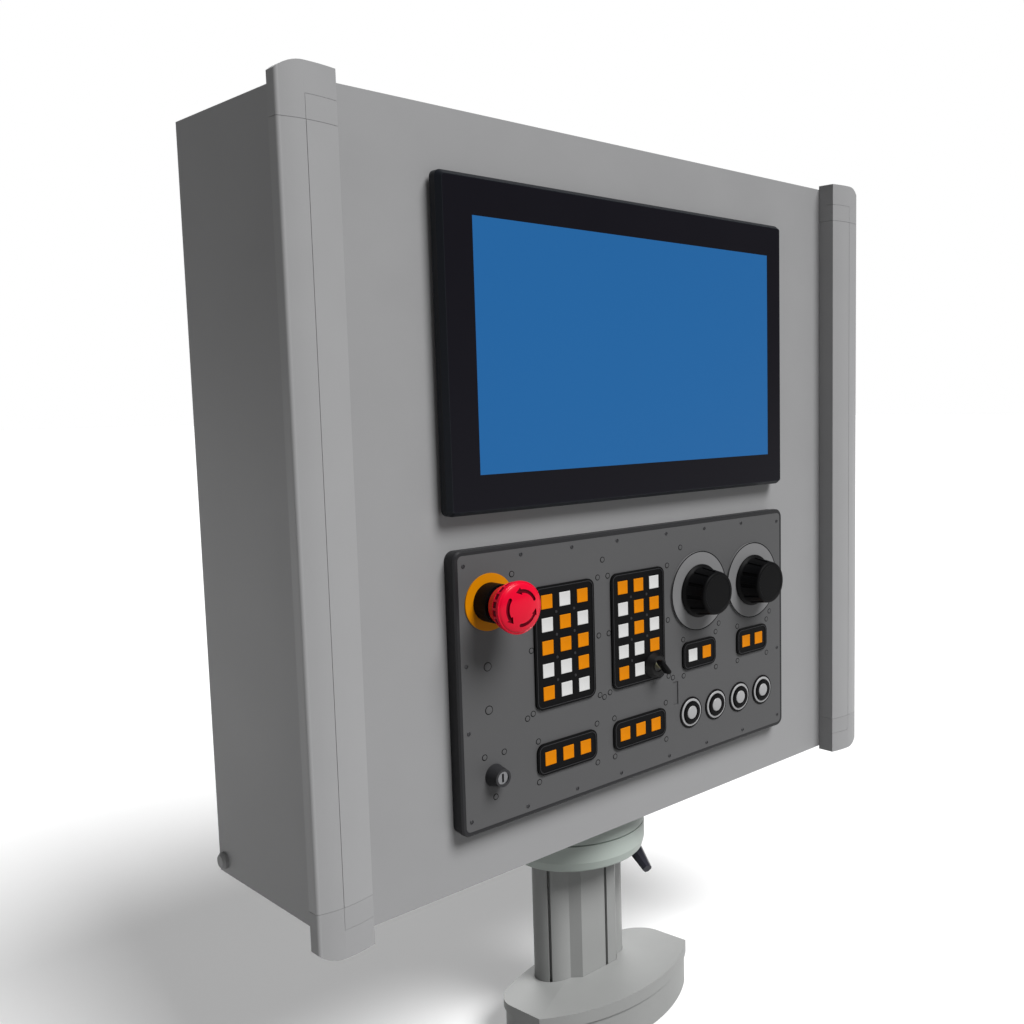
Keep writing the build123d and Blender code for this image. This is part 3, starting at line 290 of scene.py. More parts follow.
def pick_faces(piece, test):
    """In edit mode, selects the faces whose centre and normal pass the test."""
    bpy.ops.mesh.select_mode(type="FACE")
    bpy.ops.mesh.select_all(action="DESELECT")
    mesh = bmesh.from_edit_mesh(piece.data)
    for face in mesh.faces:
        face.select_set(bool(test(face.calc_center_median(), face.normal)))
    bmesh.update_edit_mesh(piece.data)


def settle(piece, name, angle=30):
    """Names a piece, shades it and moves its place into its mesh."""
    select_nothing()
    piece.name = name
    piece.select_set(True)
    bpy.context.view_layer.objects.active = piece
    bpy.ops.object.transform_apply(location=True, rotation=True, scale=True)
    bpy.ops.object.shade_smooth_by_angle(angle=math.radians(angle))
    return piece


def copy_of(piece, name, move):
    """A copy with its own mesh, moved by a vector."""
    twin = piece.copy()
    twin.data = piece.data.copy()
    twin.data.transform(Matrix.Translation(Vector(move)))
    twin.name = name
    scene.collection.objects.link(twin)
    return twin


def join(pieces, name):
    """Several pieces made into one."""
    select_nothing()
    for piece in pieces:
        piece.select_set(True)
    bpy.context.view_layer.objects.active = pieces[0]
    bpy.ops.object.join()
    pieces[0].name = name
    return pieces[0]


print("helpers ready")

# %% [markdown]
# ## Turned parts
# Knobs, rings and screw heads are round, so they are drawn the way a lathe cuts them. A circle is
# extruded towards the operator and scaled, step after step, and its open ends are filled. Most
# profiles are written as offsets in millimetres from a main radius, as on a drawing.

# %% Turning helper
facing = (math.pi / 2, 0, 0)
weld_distance = 0.001 * mm


def steps(radius, forward, offsets):
    """Profile points at offsets in millimetres from a radius and a distance forward."""
    return [(radius + out * mm, forward + ahead * mm) for out, ahead in offsets]


def turned(name, profile, place, material, segments=48, angle=30):
    """A round piece from (radius, forward) steps, with its axis pointing at the operator."""
    select_nothing()
    last_radius, last = profile[0]
    spot = Vector(place) + Vector((0, -last, 0))
    bpy.ops.mesh.primitive_circle_add(vertices=segments, radius=last_radius, location=spot, rotation=facing)
    piece = bpy.context.object
    bpy.ops.object.transform_apply(location=True, rotation=True, scale=True)
    bpy.ops.object.mode_set(mode="EDIT")
    bpy.ops.mesh.select_mode(type="EDGE")
    bpy.ops.mesh.select_all(action="SELECT")
    for radius, forward in profile[1:]:
        bpy.ops.mesh.extrude_region_move(TRANSFORM_OT_translate={"value": (0, last - forward, 0)})
        centre = Vector(place) + Vector((0, -forward, 0))
        ratio = radius / last_radius
        bpy.ops.transform.resize(value=(ratio, 1, ratio), center_override=centre)
        last_radius, last = radius, forward
    bpy.ops.mesh.select_all(action="SELECT")
    if profile[0] == profile[-1]:
        bpy.ops.mesh.remove_doubles(threshold=weld_distance)
    else:
        bpy.ops.mesh.fill_holes(sides=0)
    bpy.ops.mesh.select_all(action="SELECT")
    bpy.ops.mesh.normals_make_consistent(inside=False)
    bpy.ops.object.mode_set(mode="OBJECT")
    piece.data.materials.append(material)
    return settle(piece, name, angle)


print("turning helper ready")

# %% [markdown]
# ## One keycap
# Each cap is a square of satin plastic, slightly dished so that a finger finds its middle. It
# starts as a cube: the front face is inset and pushed in a little, and a bevel eases the rim.

# %% Model the keycap
key_pitch = 22.2 * mm
key_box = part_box("function_key_1")
key_flange = 1.2 * mm
cap_border = 1.2 * mm
dish_depth = 0.25 * mm
rim_width = 0.35 * mm
key_width = key_box[1][0] - key_box[0][0] - 2 * key_flange
key_front = key_box[0][1]
key_back = key_box[1][1]
key_first = [(key_box[0][axis] + key_box[1][axis]) / 2 for axis in range(3)]

select_nothing()
bpy.ops.mesh.primitive_cube_add(size=1, location=key_first)
keycap = bpy.context.object
keycap.scale = (key_width, key_back - key_front, key_width)
bpy.ops.object.transform_apply(location=True, rotation=True, scale=True)
bpy.ops.object.mode_set(mode="EDIT")
pick_faces(keycap, lambda centre, normal: normal.y < -0.9)
bpy.ops.mesh.inset(thickness=cap_border)
bpy.ops.transform.translate(value=(0, dish_depth, 0))
bpy.ops.object.mode_set(mode="OBJECT")
rim = keycap.modifiers.new("rim", "BEVEL")
rim.width = rim_width
rim.segments = 3
bpy.ops.object.modifier_apply(modifier="rim")
keycap.data.materials.append(orange_cap)
settle(keycap, "keycap", 40)
print("keycap", round(key_width / mm, 1), "mm wide,", len(keycap.data.polygons), "faces")

# %% [markdown]
# ## The key fields
# The colours of the caps follow the photograph, row by row. Each row of a big field moves as one
# body in the model, so its caps are joined into one piece that rides on that body.

# %% Lay out the key fields
left_field = ("OWO", "WOW", "OOO", "WWO", "OWW")
right_field = ("OOW", "WOO", "WOW", "WWO", "OW")
function_keys = "OOOOOO"
axis_keys = "WOOO"
cap_finish = {"O": orange_cap, "W": white_cap}


def cap_row(name, letters, body):
    """Caps for one node, set out from its left end, in the given colours."""
    low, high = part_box(body)
    first = low[0] + key_width / 2 + key_flange
    middle = (low[2] + high[2]) / 2
    caps = []
    for index, letter in enumerate(letters):
        move = (first + index * key_pitch - key_first[0], 0, middle - key_first[2])
        cap = copy_of(keycap, f"{name}_{index + 1}", move)
        cap.data.materials[0] = cap_finish[letter]
        caps.append(cap)
    row = join(caps, name)
    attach(row, body)
    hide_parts(body)
    return row


for number, letters in enumerate(left_field, start=1):
    cap_row(f"left_caps_{number}", letters, f"keypad_left_row_{number}")
for number, letters in enumerate(right_field, start=1):
    cap_row(f"right_caps_{number}", letters, f"keypad_right_row_{number}")
for number, letter in enumerate(function_keys, start=1):
    cap_row(f"function_cap_{number}", letter, f"function_key_{number}")
for number, letter in enumerate(axis_keys, start=1):
    cap_row(f"axis_cap_{number}", letter, f"axis_key_{number}")
bpy.data.objects.remove(keycap)
pad_rows = len(left_field) + len(right_field)
print("caps for", pad_rows, "rows and", len(function_keys) + len(axis_keys), "single keys")

# %% [markdown]
# ## The emergency stop's head
# The head is turned, with a ribbed grip and a wide, gently domed front. Its three arrows show the
# way to turn it free. They are recessed, so they are cut with a boolean, which leaves clean walls.

# %% Turn the head
head_low, head_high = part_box("estop_mushroom")
head_x = (head_low[0] + head_high[0]) / 2
head_z = (head_low[2] + head_high[2]) / 2
head_back = head_high[1]
head_radius = (head_high[0] - head_low[0]) / 2
head_depth = head_back - head_low[1]
head_place = (head_x, head_back, head_z)
grip_radius = head_radius - 1.8 * mm
bore_radius = 6.2 * mm
dome = 4.5 * mm
rim_height = head_depth - dome

head_profile = [(bore_radius, 0)]
head_profile += steps(grip_radius, 0, ((-1.2, 0), (0, 0.5), (0, 6.4), (-0.6, 6.7), (-0.6, 7.1)))
head_profile += steps(head_radius, 0, ((-0.6, 7.3), (0, 7.9)))
head_profile += steps(head_radius, rim_height, ((0, -0.9), (-0.2, -0.3), (-0.9, 0), (-1.2, -0.2)))
head_profile += steps(head_radius, rim_height, ((-1.5, 0), (-2, 0.7)))
dome_radius, dome_foot = head_profile[-1]
dome_height = dome - 0.7 * mm
dome_steps = 12
dome_power = 0.75
for step in range(1, dome_steps):
    share = step / dome_steps
    radius = dome_radius * math.cos(share * math.pi / 2)
    height = dome_foot + dome_height * (1 - (radius / dome_radius) ** 2) ** dome_power
    head_profile.append((radius, height))
estop_head = turned("estop_head", head_profile, head_place, stop_red, segments=72, angle=35)
print("head radius", round(head_radius / mm, 1), "mm, depth", round(head_depth / mm, 1), "mm")

# %% [markdown]
# ## Ribs on the grip
# Ribs give a gloved hand its hold. Of every four faces on the grip's band three are selected by
# their angle round the axis, inset a little and pushed in. The fourth stays as a rib. Angles are
# in degrees.

# %% Press the ribs
rib_spacing = 20
slot_angle = 15
slot_low = 0.6 * mm
slot_high = 6.3 * mm
slot_border = 0.3 * mm
slot_depth = 0.7 * mm
flat_limit = 0.2
bpy.ops.object.mode_set(mode="EDIT")


def between_ribs(centre, normal):
    """True for the faces of the grip's band that lie between two ribs."""
    height = head_back - centre.y
    turn = math.degrees(math.atan2(centre.z - head_z, centre.x - head_x)) % rib_spacing
    on_band = slot_low < height < slot_high and abs(normal.y) < flat_limit
    return on_band and turn < slot_angle


# The slots between the ribs get the darker red, which is painted shade.
estop_head.data.materials.append(stop_red_painted_shade)
pick_faces(estop_head, between_ribs)
bpy.ops.mesh.inset(thickness=slot_border, depth=-slot_depth)
estop_head.active_material_index = 1
bpy.ops.object.material_slot_assign()
bpy.ops.object.mode_set(mode="OBJECT")
print("grip has", len(estop_head.data.polygons), "faces")

# %% [markdown]
# ## Arrow cutters
# An arrow is a curved band, a round tail and a three-sided head. Each is a simple prism that
# reaches from outside the dome to a shallow floor. The walls and floor of the recess get a darker
# red, which is painted shade.

# %% Arrow cutters
arrow_radius = 15.2 * mm
arrow_width = 3.2 * mm
arrow_head = 3.8 * mm
arrow_floor = head_low[1] + 3.1 * mm
cut_depth = 8 * mm
circle_steps = 90
band_stop = 14


def band_cutter(tail, tip):
    """A curved bar from the tail's angle to a little before the tip's."""
    select_nothing()
    centre = (head_x, arrow_floor, head_z)
    inner = arrow_radius - arrow_width / 2
    bpy.ops.mesh.primitive_circle_add(vertices=circle_steps, radius=inner, location=centre, rotation=facing)
    cutter = bpy.context.object
    bpy.ops.object.transform_apply(location=True, rotation=True, scale=True)
    bpy.ops.object.mode_set(mode="EDIT")
    bpy.ops.mesh.select_mode(type="EDGE")
    bpy.ops.mesh.select_all(action="SELECT")
    bpy.ops.mesh.extrude_region_move()
    ratio = (arrow_radius + arrow_width / 2) / inner
    bpy.ops.transform.resize(value=(ratio, 1, ratio), center_override=centre)

    def outside(spot, normal):
        """True for the faces of the full circle that the bar leaves out."""
        turn = math.degrees(math.atan2(spot.z - head_z, spot.x - head_x)) % 360
        return not tail < turn < tip - band_stop

    pick_faces(cutter, outside)
    bpy.ops.mesh.delete(type="FACE")
    bpy.ops.mesh.select_all(action="SELECT")
    bpy.ops.mesh.delete_loose()
    bpy.ops.mesh.select_all(action="SELECT")
    bpy.ops.mesh.extrude_region_move(TRANSFORM_OT_translate={"value": (0, -cut_depth, 0)})
    bpy.ops.mesh.select_all(action="SELECT")
    bpy.ops.mesh.normals_make_consistent(inside=False)
    bpy.ops.object.mode_set(mode="OBJECT")
    return cutter


def prism_cutter(angle, sides, size, turn):
    """A prism on the arrow's centre line at an angle, turned about its own axis."""
    select_nothing()
    x = head_x + arrow_radius * math.cos(math.radians(angle))
    z = head_z + arrow_radius * math.sin(math.radians(angle))
    bpy.ops.mesh.primitive_cylinder_add(vertices=sides, radius=size, depth=cut_depth, rotation=facing)
    cutter = bpy.context.object
    bpy.ops.object.transform_apply(location=False, rotation=True, scale=True)
    cutter.location = (x, arrow_floor - cut_depth / 2, z)
    cutter.rotation_euler = (0, -math.radians(turn), 0)
    return cutter


print("arrow cutters ready")

# %% [markdown]
# Three arrows run round the dome. Their spans are angles from the right-hand side, anticlockwise,
# from the middle of the tail to the tip.

# %% Cut the arrows
arrow_spans = ((24, 108), (144, 228), (264, 348))
tail_sides = 16
head_sides = 3
head_setback = 10


def cut(piece, cutter):
    """Takes a cutter away from a piece and leaves its walls and floor in a darker red, painted shade."""
    cutter.data.materials.append(stop_red_painted_shade)
    select_nothing()
    bpy.context.view_layer.objects.active = piece
    piece.select_set(True)
    tool = piece.modifiers.new("cut", "BOOLEAN")
    tool.operation = "DIFFERENCE"
    tool.object = cutter
    tool.solver = "EXACT"
    tool.material_mode = "TRANSFER"
    bpy.ops.object.modifier_apply(modifier="cut")
    bpy.data.objects.remove(cutter)


for tail, tip in arrow_spans:
    cut(estop_head, band_cutter(tail, tip))
    cut(estop_head, prism_cutter(tail, tail_sides, arrow_width / 2, 0))
    head_angle = tip - head_setback
    cut(estop_head, prism_cutter(head_angle, head_sides, arrow_head, head_angle))
settle(estop_head, "estop_head", 35)
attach(estop_head, "estop_mushroom")
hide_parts("estop_mushroom")
print("head with arrows has", len(estop_head.data.polygons), "faces")

# %% [markdown]
# ## Pushbuttons
# Each button has a black bezel, a pale ring that stands a little proud of it, and a black cap with
# a pale lens. One of each is turned, at the first button's place.

# %% Bezels, rings, caps and lenses
button_spots = []
for name in button_nodes:
    low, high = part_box(name)
    button_spots.append(((low[0] + high[0]) / 2, (low[2] + high[2]) / 2))
bezel_low, bezel_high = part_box("pushbutton_bezels")
cap_low, cap_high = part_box("pushbutton_1")
plate_front = bezel_high[1]
cap_radius = (cap_high[0] - cap_low[0]) / 2
cap_height = plate_front - cap_low[1]
cap_back = plate_front - cap_high[1]
bezel_radius = bezel_high[0] - button_spots[-1][0]
bezel_depth = bezel_high[1] - bezel_low[1]
ring_radius = bezel_radius - 2 * mm
ring_bore = cap_radius + 0.3 * mm
first_x, first_z = button_spots[0]
button_place = (first_x, plate_front, first_z)

bezel_side = bezel_depth * 0.4
bezel_top = bezel_depth * 0.65
bezel_profile = [(ring_radius, 0), (bezel_radius, 0), (bezel_radius, bezel_side)]
bezel_profile += [(bezel_radius - 0.4 * mm, bezel_top), (ring_radius, bezel_top), (ring_radius, 0)]
bezel = turned("bezel", bezel_profile, button_place, black_plastic)
ring_profile = [(ring_bore, 0), (ring_radius, 0)]
ring_profile += steps(ring_radius, bezel_depth, ((0, -0.4), (-0.4, 0)))
ring_profile += steps(ring_bore, bezel_depth, ((0.3, 0), (0, -0.3)))
ring_profile += [(ring_bore, 0)]
ring = turned("ring", ring_profile, button_place, light_ring)
cap_profile = [(4 * mm, cap_back), (cap_radius, cap_back)]
cap_profile += steps(cap_radius, cap_height, ((0, -0.7), (-0.2, -0.2), (-0.7, 0)))
cap_profile += steps(0, cap_height, ((8.5, 0), (8.1, -0.5), (7.6, -0.6), (7.5, -1.6)))
button_cap = turned("button_cap", cap_profile, button_place, black_plastic)
lens_back = cap_height - 1.7 * mm
lens_profile = steps(0, lens_back, ((7.3, 0), (7.3, 0.9), (6.8, 1.3), (5, 1.55), (2, 1.65)))
lens = turned("lens", lens_profile, button_place, lens_grey)
print("ring", round(2 * ring_radius / mm, 1), "mm, cap", round(2 * cap_radius / mm, 1), "mm across")

# %% [markdown]
# The first button's pieces are copied to the four places. A cap and its lens are joined, because
# they move together, and the bezels and rings become one piece that stays on the panel.

# %% Copy the buttons
bezels, rings = [], []
for index, (x, z) in enumerate(button_spots):
    move = (x - first_x, 0, z - first_z)
    bezels.append(copy_of(bezel, f"bezel_{index + 1}", move))
    rings.append(copy_of(ring, f"ring_{index + 1}", move))
    own_cap = copy_of(button_cap, f"button_cap_{index + 1}", move)
    own_cap = join([own_cap, copy_of(lens, "lens_copy", move)], f"button_cap_{index + 1}")
    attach(own_cap, button_nodes[index])
    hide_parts(button_nodes[index])
button_surround = join(bezels + rings, "button_surrounds")
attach(button_surround, "panel")
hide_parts("pushbutton_bezels")
for piece in (bezel, ring, button_cap, lens):
    bpy.data.objects.remove(piece)
print("buttons at x", [round(spot[0] / mm, 1) for spot in button_spots])

# %% [markdown]
# ## Override knobs
# Each dial has a black knob with a wide skirt and a tapered grip. The knob is turned first. Then
# twelve bands on the grip, each two faces wide, are picked by their angle and pressed in as flutes.

# %% Model one knob and copy it
knob_low, knob_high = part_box("feed_override_knob")
knob_x = (knob_low[0] + knob_high[0]) / 2
knob_z = (knob_low[2] + knob_high[2]) / 2
skirt_radius = (knob_high[0] - knob_low[0]) / 2
knob_height = plate_front - knob_low[1]
knob_back = plate_front - knob_high[1]
knob_foot = 2.4 * mm
flute_low = knob_foot + 4.4 * mm
flute_high = knob_height - 3.1 * mm
flute_spacing = 30
flute_angle = 10
flute_border = 0.5 * mm
flute_depth = 1.1 * mm
top_radius = 23.3 * mm
base_radius = (skirt_radius + top_radius) / 2
knob_profile = [(3 * mm, knob_back), (3 * mm, knob_foot)]
knob_profile += steps(skirt_radius, knob_foot, ((-0.4, 0), (0, 0.4), (0, 1.5), (-0.5, 2.1)))
knob_profile += steps(base_radius, knob_foot, ((0.8, 3.3), (0, 4.3)))
knob_profile += steps(top_radius, knob_height, ((0.2, -3), (-0.1, -1.4), (-0.6, -0.5)))
knob_profile += steps(top_radius, knob_height, ((-1.6, 0), (-4, 0), (-4.4, -0.3)))
knob_place = (knob_x, plate_front, knob_z)
knob = turned("knob", knob_profile, knob_place, black_plastic, segments=72, angle=35)
bpy.ops.object.mode_set(mode="EDIT")


def in_flute(centre, normal):
    """True for the faces of the knob's grip that lie in a flute."""
    height = plate_front - centre.y
    angle = math.degrees(math.atan2(centre.z - knob_z, centre.x - knob_x)) % flute_spacing
    return flute_low < height < flute_high and angle < flute_angle


pick_faces(knob, in_flute)
bpy.ops.mesh.inset(thickness=flute_border, depth=-flute_depth)
bpy.ops.object.mode_set(mode="OBJECT")
settle(knob, "feed_knob", 35)
other_low, other_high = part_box("spindle_override_knob")
to_spindle = ((other_low[0] + other_high[0]) / 2 - knob_x, 0, 0)
spindle_knob = copy_of(knob, "spindle_knob", to_spindle)
for piece, body in ((knob, "feed_override_knob"), (spindle_knob, "spindle_override_knob")):
    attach(piece, body)
    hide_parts(body)
print("knob", round(2 * skirt_radius / mm, 1), "mm across,", len(knob.data.polygons), "faces")

# %% [markdown]
# A thin black rim runs round each grey scale plate. It is a very flat turned ring.

# %% Rims of the scale plates
dial_low, dial_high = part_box("dial_plates")
dial_radius = (dial_high[2] - dial_low[2]) / 2
dial_height = plate_front - dial_low[1]
rim_section = ((-0.9, -0.2), (0.1, -0.2), (0.1, 0.1), (-0.9, 0.1), (-0.9, -0.2))
rim_profile = steps(dial_radius, dial_height, rim_section)
dial_rim = turned("dial_rim", rim_profile, knob_place, black_plastic, segments=96)
dial_rim_2 = copy_of(dial_rim, "dial_rim_2", to_spindle)
dial_rims = join([dial_rim, dial_rim_2], "dial_rims")
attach(dial_rims, "panel")
print("rims of radius", round(dial_radius / mm, 1), "mm")

# %% [markdown]
# ## Lips on the key frames
# The frame of each key field has a thin raised lip inside its edge. It is drawn as a flat plate
# with rounded corners, inset once, opened in the middle and extruded.

# %% Lip helper
field_nodes = (
    [f"keypad_left_row_{number}" for number in range(1, 6)],
    [f"keypad_right_row_{number}" for number in range(1, 6)],
    ["function_key_1", "function_key_2", "function_key_3"],
    ["function_key_4", "function_key_5", "function_key_6"],
    ["axis_key_1", "axis_key_2"],
    ["axis_key_3", "axis_key_4"],
)
frame_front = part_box("key_frames")[0][1]
field_margin = 7.4 * mm
lip_setback = 1.7 * mm
lip_width = 0.7 * mm
lip_height = 0.45 * mm
lip_corner = 6.3 * mm


def lip(name, low, high):
    """A raised line with rounded corners round a rectangle on the frame's front."""
    select_nothing()
    centre = ((low[0] + high[0]) / 2, frame_front, (low[2] + high[2]) / 2)
    bpy.ops.mesh.primitive_plane_add(size=1, location=centre, rotation=facing)
    piece = bpy.context.object
    inset = 2 * (field_margin - lip_setback)
    piece.scale = (high[0] - low[0] + inset, high[2] - low[2] + inset, 1)
    bpy.ops.object.transform_apply(location=True, rotation=True, scale=True)
    bpy.ops.object.mode_set(mode="EDIT")
    bpy.ops.mesh.select_all(action="SELECT")
    bpy.ops.mesh.bevel(affect="VERTICES", offset=lip_corner, segments=8)
    bpy.ops.mesh.select_all(action="SELECT")
    bpy.ops.mesh.inset(thickness=lip_width)
    bpy.ops.mesh.delete(type="FACE")
    bpy.ops.mesh.select_all(action="SELECT")
    bpy.ops.mesh.extrude_region_move(TRANSFORM_OT_translate={"value": (0, -lip_height, 0)})
    bpy.ops.mesh.select_all(action="SELECT")
    bpy.ops.mesh.normals_make_consistent(inside=False)
    bpy.ops.object.mode_set(mode="OBJECT")
    piece.data.materials.append(lip_grey)
    return settle(piece, name)


def field_box(names):
    """The lowest and highest corner of a group of key nodes."""
    boxes = [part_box(name) for name in names]
    low = [min(box[0][axis] for box in boxes) for axis in range(3)]
    high = [max(box[1][axis] for box in boxes) for axis in range(3)]
    return low, high


print("lips stand", round(lip_height / mm, 2), "mm proud")

# %% [markdown]
# Between four keys of a big field sits a small round pip. One is left out, because the body of the
# mode switch stands in its place.

# %% Lips and pips
pip_profile = steps(0, 0, ((1.4, -0.1), (1.4, 0.25), (1, 0.45), (0.4, 0.5)))
hidden_pip = ("keypad_right_row_1", 1, 0)
pip = turned("pip", pip_profile, (0, frame_front, 0), lip_grey, segments=16)
half_key = key_width / 2 + key_flange
raised = []
for names in field_nodes:
    low, high = field_box(names)
    raised.append(lip("lip", low, high))
    columns = round((high[0] - low[0] - 2 * half_key) / key_pitch)
    rows = round((high[2] - low[2] - 2 * half_key) / key_pitch)
    for column in range(columns):
        for row in range(rows):
            x = low[0] + half_key + (column + 0.5) * key_pitch
            z = low[2] + half_key + (row + 0.5) * key_pitch
            if (names[0], column, row) != hidden_pip:
                raised.append(copy_of(pip, "pip_copy", (x, 0, z)))
key_frame_lips = join(raised, "key_frame_lips")
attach(key_frame_lips, "panel")
bpy.data.objects.remove(pip)
print(len(raised), "raised lines and pips")

# %% [markdown]
# ## Screws and studs on the faceplate
# Small round-headed screws hold the faceplate to its frame, and the studs of the key modules show
# as low discs. A screw is turned, and the socket for its driver is an inset face pushed in.

# %% Screws
screw_low, screw_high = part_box("faceplate_screws")
screw_front = screw_high[1]
cad_head_radius = 2.6 * mm
corner_drop = 3.6 * mm
side_x = screw_high[0] - cad_head_radius
row_half = (screw_high[2] - screw_low[2]) / 2 - cad_head_radius
corner_half = row_half - corner_drop
middle_z = (screw_low[2] + screw_high[2]) / 2
row_shares = (-0.71, -0.43, -0.16, 0.16, 0.43, 0.71)
side_screws = ((-1, -0.29), (-1, 0.22), (1, -0.29))
screw_spots = []
for share in row_shares:
    screw_spots += [(side_x * share, middle_z + row_half), (side_x * share, middle_z - row_half)]
for x in (-side_x, side_x):
    screw_spots += [(x, middle_z + corner_half), (x, middle_z - corner_half)]
for side, share in side_screws:
    screw_spots.append((side * side_x, middle_z + row_half * share))

socket_border = 0.15 * mm
socket_depth = 0.5 * mm
screw_profile = steps(0, 0, ((1.9, 0), (1.9, 0.25), (1.6, 0.55), (1, 0.6)))
screw = turned("screw", screw_profile, (0, screw_front, 0), screw_dark, segments=24)
bpy.ops.object.mode_set(mode="EDIT")
pick_faces(screw, lambda centre, normal: normal.y < -0.98)
bpy.ops.mesh.inset(thickness=socket_border)
bpy.ops.mesh.extrude_region_move(TRANSFORM_OT_translate={"value": (0, socket_depth, 0)})
bpy.ops.object.mode_set(mode="OBJECT")
screws = [copy_of(screw, f"screw_{index}", (x, 0, z)) for index, (x, z) in enumerate(screw_spots)]
faceplate_screw_heads = join(screws, "faceplate_screw_heads")
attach(faceplate_screw_heads, "panel")
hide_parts("faceplate_screws")
bpy.data.objects.remove(screw)
print(len(screw_spots), "screws")

# %% [markdown]
# The stud heads are almost flush, with a fine groove round them, so each is a very low turned
# disc. Most stand at fixed gaps to the left, right, top and bottom of a group of keys. The others
# were placed from the photograph, in millimetres from the faceplate's lower left corner.

# %% Stud heads
pad_gaps = (10.2 * mm, 14.4 * mm, 6.5 * mm, 8.7 * mm)
row_gaps = (5 * mm, 9.4 * mm, 11.1 * mm, 13.2 * mm)
lone_studs = (
    (58.5, 230.5), (170.5, 230.5), (282.5, 230.5), (343, 138), (432.5, 138), (72, 90.5),
    (169.5, 90.5), (268.5, 90.5), (44, 65.5), (22, 65.5), (33, 25.5),
)
large_studs = ((28.5, 149), (28.5, 108.5))
plate_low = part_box("control_faceplate")[0]
stud_spots = [(plate_low[0] + x * mm, plate_low[2] + z * mm) for x, z in lone_studs]
for names in field_nodes:
    low, high = field_box(names)
    tall = high[2] - low[2] > 2 * key_pitch
    left, right, above, below = pad_gaps if tall else row_gaps
    heights = [high[2] + above, low[2] - below]
    if tall:
        heights.append((low[2] + high[2]) / 2)
    stud_spots += [(x, z) for x in (low[0] - left, high[0] + right) for z in heights]


def stud_disc(name, radius):
    """A low disc in the plate's grey, with a flat black ring round it as the groove's painted shade."""
    disc_profile = steps(radius, 0, ((-0.8, 0), (-0.8, 0.2), (-1, 0.28)))
    disc_profile += [(radius * 0.4, 0.3 * mm)]
    disc = turned("disc", disc_profile, (0, screw_front, 0), faceplate_grey, segments=28)
    # A flat black ring round the disc is the painted shade of the fine groove.
    groove_shade_section = ((-0.85, 0), (0, 0), (0, 0.06), (-0.85, 0.06), (-0.85, 0))
    groove_shade_profile = steps(radius, 0, groove_shade_section)
    groove_shade = turned("groove_shade", groove_shade_profile, (0, screw_front, 0), black_plastic, segments=28)
    return join([disc, groove_shade], name)


stud_radius = 3 * mm
large_radius = 4.3 * mm
stud = stud_disc("stud", stud_radius)
large_stud = stud_disc("large_stud", large_radius)
studs = [copy_of(stud, "stud_copy", (x, 0, z)) for x, z in stud_spots]
for x, z in large_studs:
    spot = (plate_low[0] + x * mm, 0, plate_low[2] + z * mm)
    studs.append(copy_of(large_stud, "stud_copy", spot))
stud_heads = join(studs, "faceplate_stud_heads")
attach(stud_heads, "panel")
bpy.data.objects.remove(stud)
bpy.data.objects.remove(large_stud)
print(len(studs), "stud heads")

# %% [markdown]
# ## The mode switch's key
# The key has a flat brass blade, a small brass collar and a black moulded bow. Each starts as a
# cube whose edges are bevelled. The blade sits in a turned rotor, and the key stands a little
# turned.

# %% Model the key
key_low, key_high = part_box("mode_key")
key_centre = Vector(((key_low[0] + key_high[0]) / 2, key_low[1], (key_low[2] + key_high[2]) / 2))
rotor_back = key_high[1]
bow_depth = 10 * mm
bow_height = 20 * mm
bow_thickness = 5 * mm
blade_length = 3.5 * mm
rest_turn = math.radians(-40)


def bar(name, size, forward, material, bevel):
    """A bevelled bar centred on the key's axis, its front at a distance behind the bow's front."""
    select_nothing()
    spot = key_centre + Vector((0, forward + size[1] / 2, 0))
    bpy.ops.mesh.primitive_cube_add(size=1, location=spot)
    piece = bpy.context.object
    piece.scale = size
    bpy.ops.object.transform_apply(location=False, rotation=False, scale=True)
    edge = piece.modifiers.new("edge", "BEVEL")
    edge.width = bevel
    edge.segments = 4
    bpy.ops.object.modifier_apply(modifier="edge")
    piece.data.materials.append(material)
    piece.name = name
    return piece


bow_size = (bow_thickness, bow_depth, bow_height)
blade_size = (1.8 * mm, blade_length + 2 * mm, 7 * mm)
collar_size = (bow_thickness * 0.6, 2.2 * mm, 9 * mm)
bow = bar("bow", bow_size, 0, black_plastic, bevel=2.4 * mm)
blade = bar("blade", blade_size, bow_depth - 0.5 * mm, brass, bevel=0.3 * mm)
collar = bar("collar", collar_size, bow_depth - 1 * mm, brass, bevel=0.4 * mm)
for piece in (bow, blade, collar):
    piece.rotation_euler = (0, rest_turn, 0)
    settle(piece, piece.name, 35)
rotor_front = key_low[1] + bow_depth + blade_length
rotor_depth = rotor_back - rotor_front
rotor_radius = 6 * mm
rotor_profile = [(rotor_radius, 0)]
rotor_profile += steps(rotor_radius, rotor_depth, ((0, -0.4), (-0.4, 0)))
rotor_place = (key_centre.x, rotor_back, key_centre.z)
rotor = turned("rotor", rotor_profile, rotor_place, lock_chrome, segments=36)
mode_switch_key = join([bow, blade, collar, rotor], "mode_switch_key")
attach(mode_switch_key, "mode_key")
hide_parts("mode_key")
print("key on axis", round(key_centre.x / mm, 1), round(key_centre.z / mm, 1))

# %% [markdown]
# ## The place where it stands
# A plain floor shows the object's weight by its shadow. It is pale for the camera and in mirror
# reflections, and grey for light, so that it doesn't brighten the side wall. The world is white
# for the camera, dim in reflections and almost dark for light.

# %% Floor and world
floor_size = 60
floor_for_light = tint(140, 140, 140)
world_for_camera = 0.9
world_for_light = 0.1
world_for_mirrors = 0.2

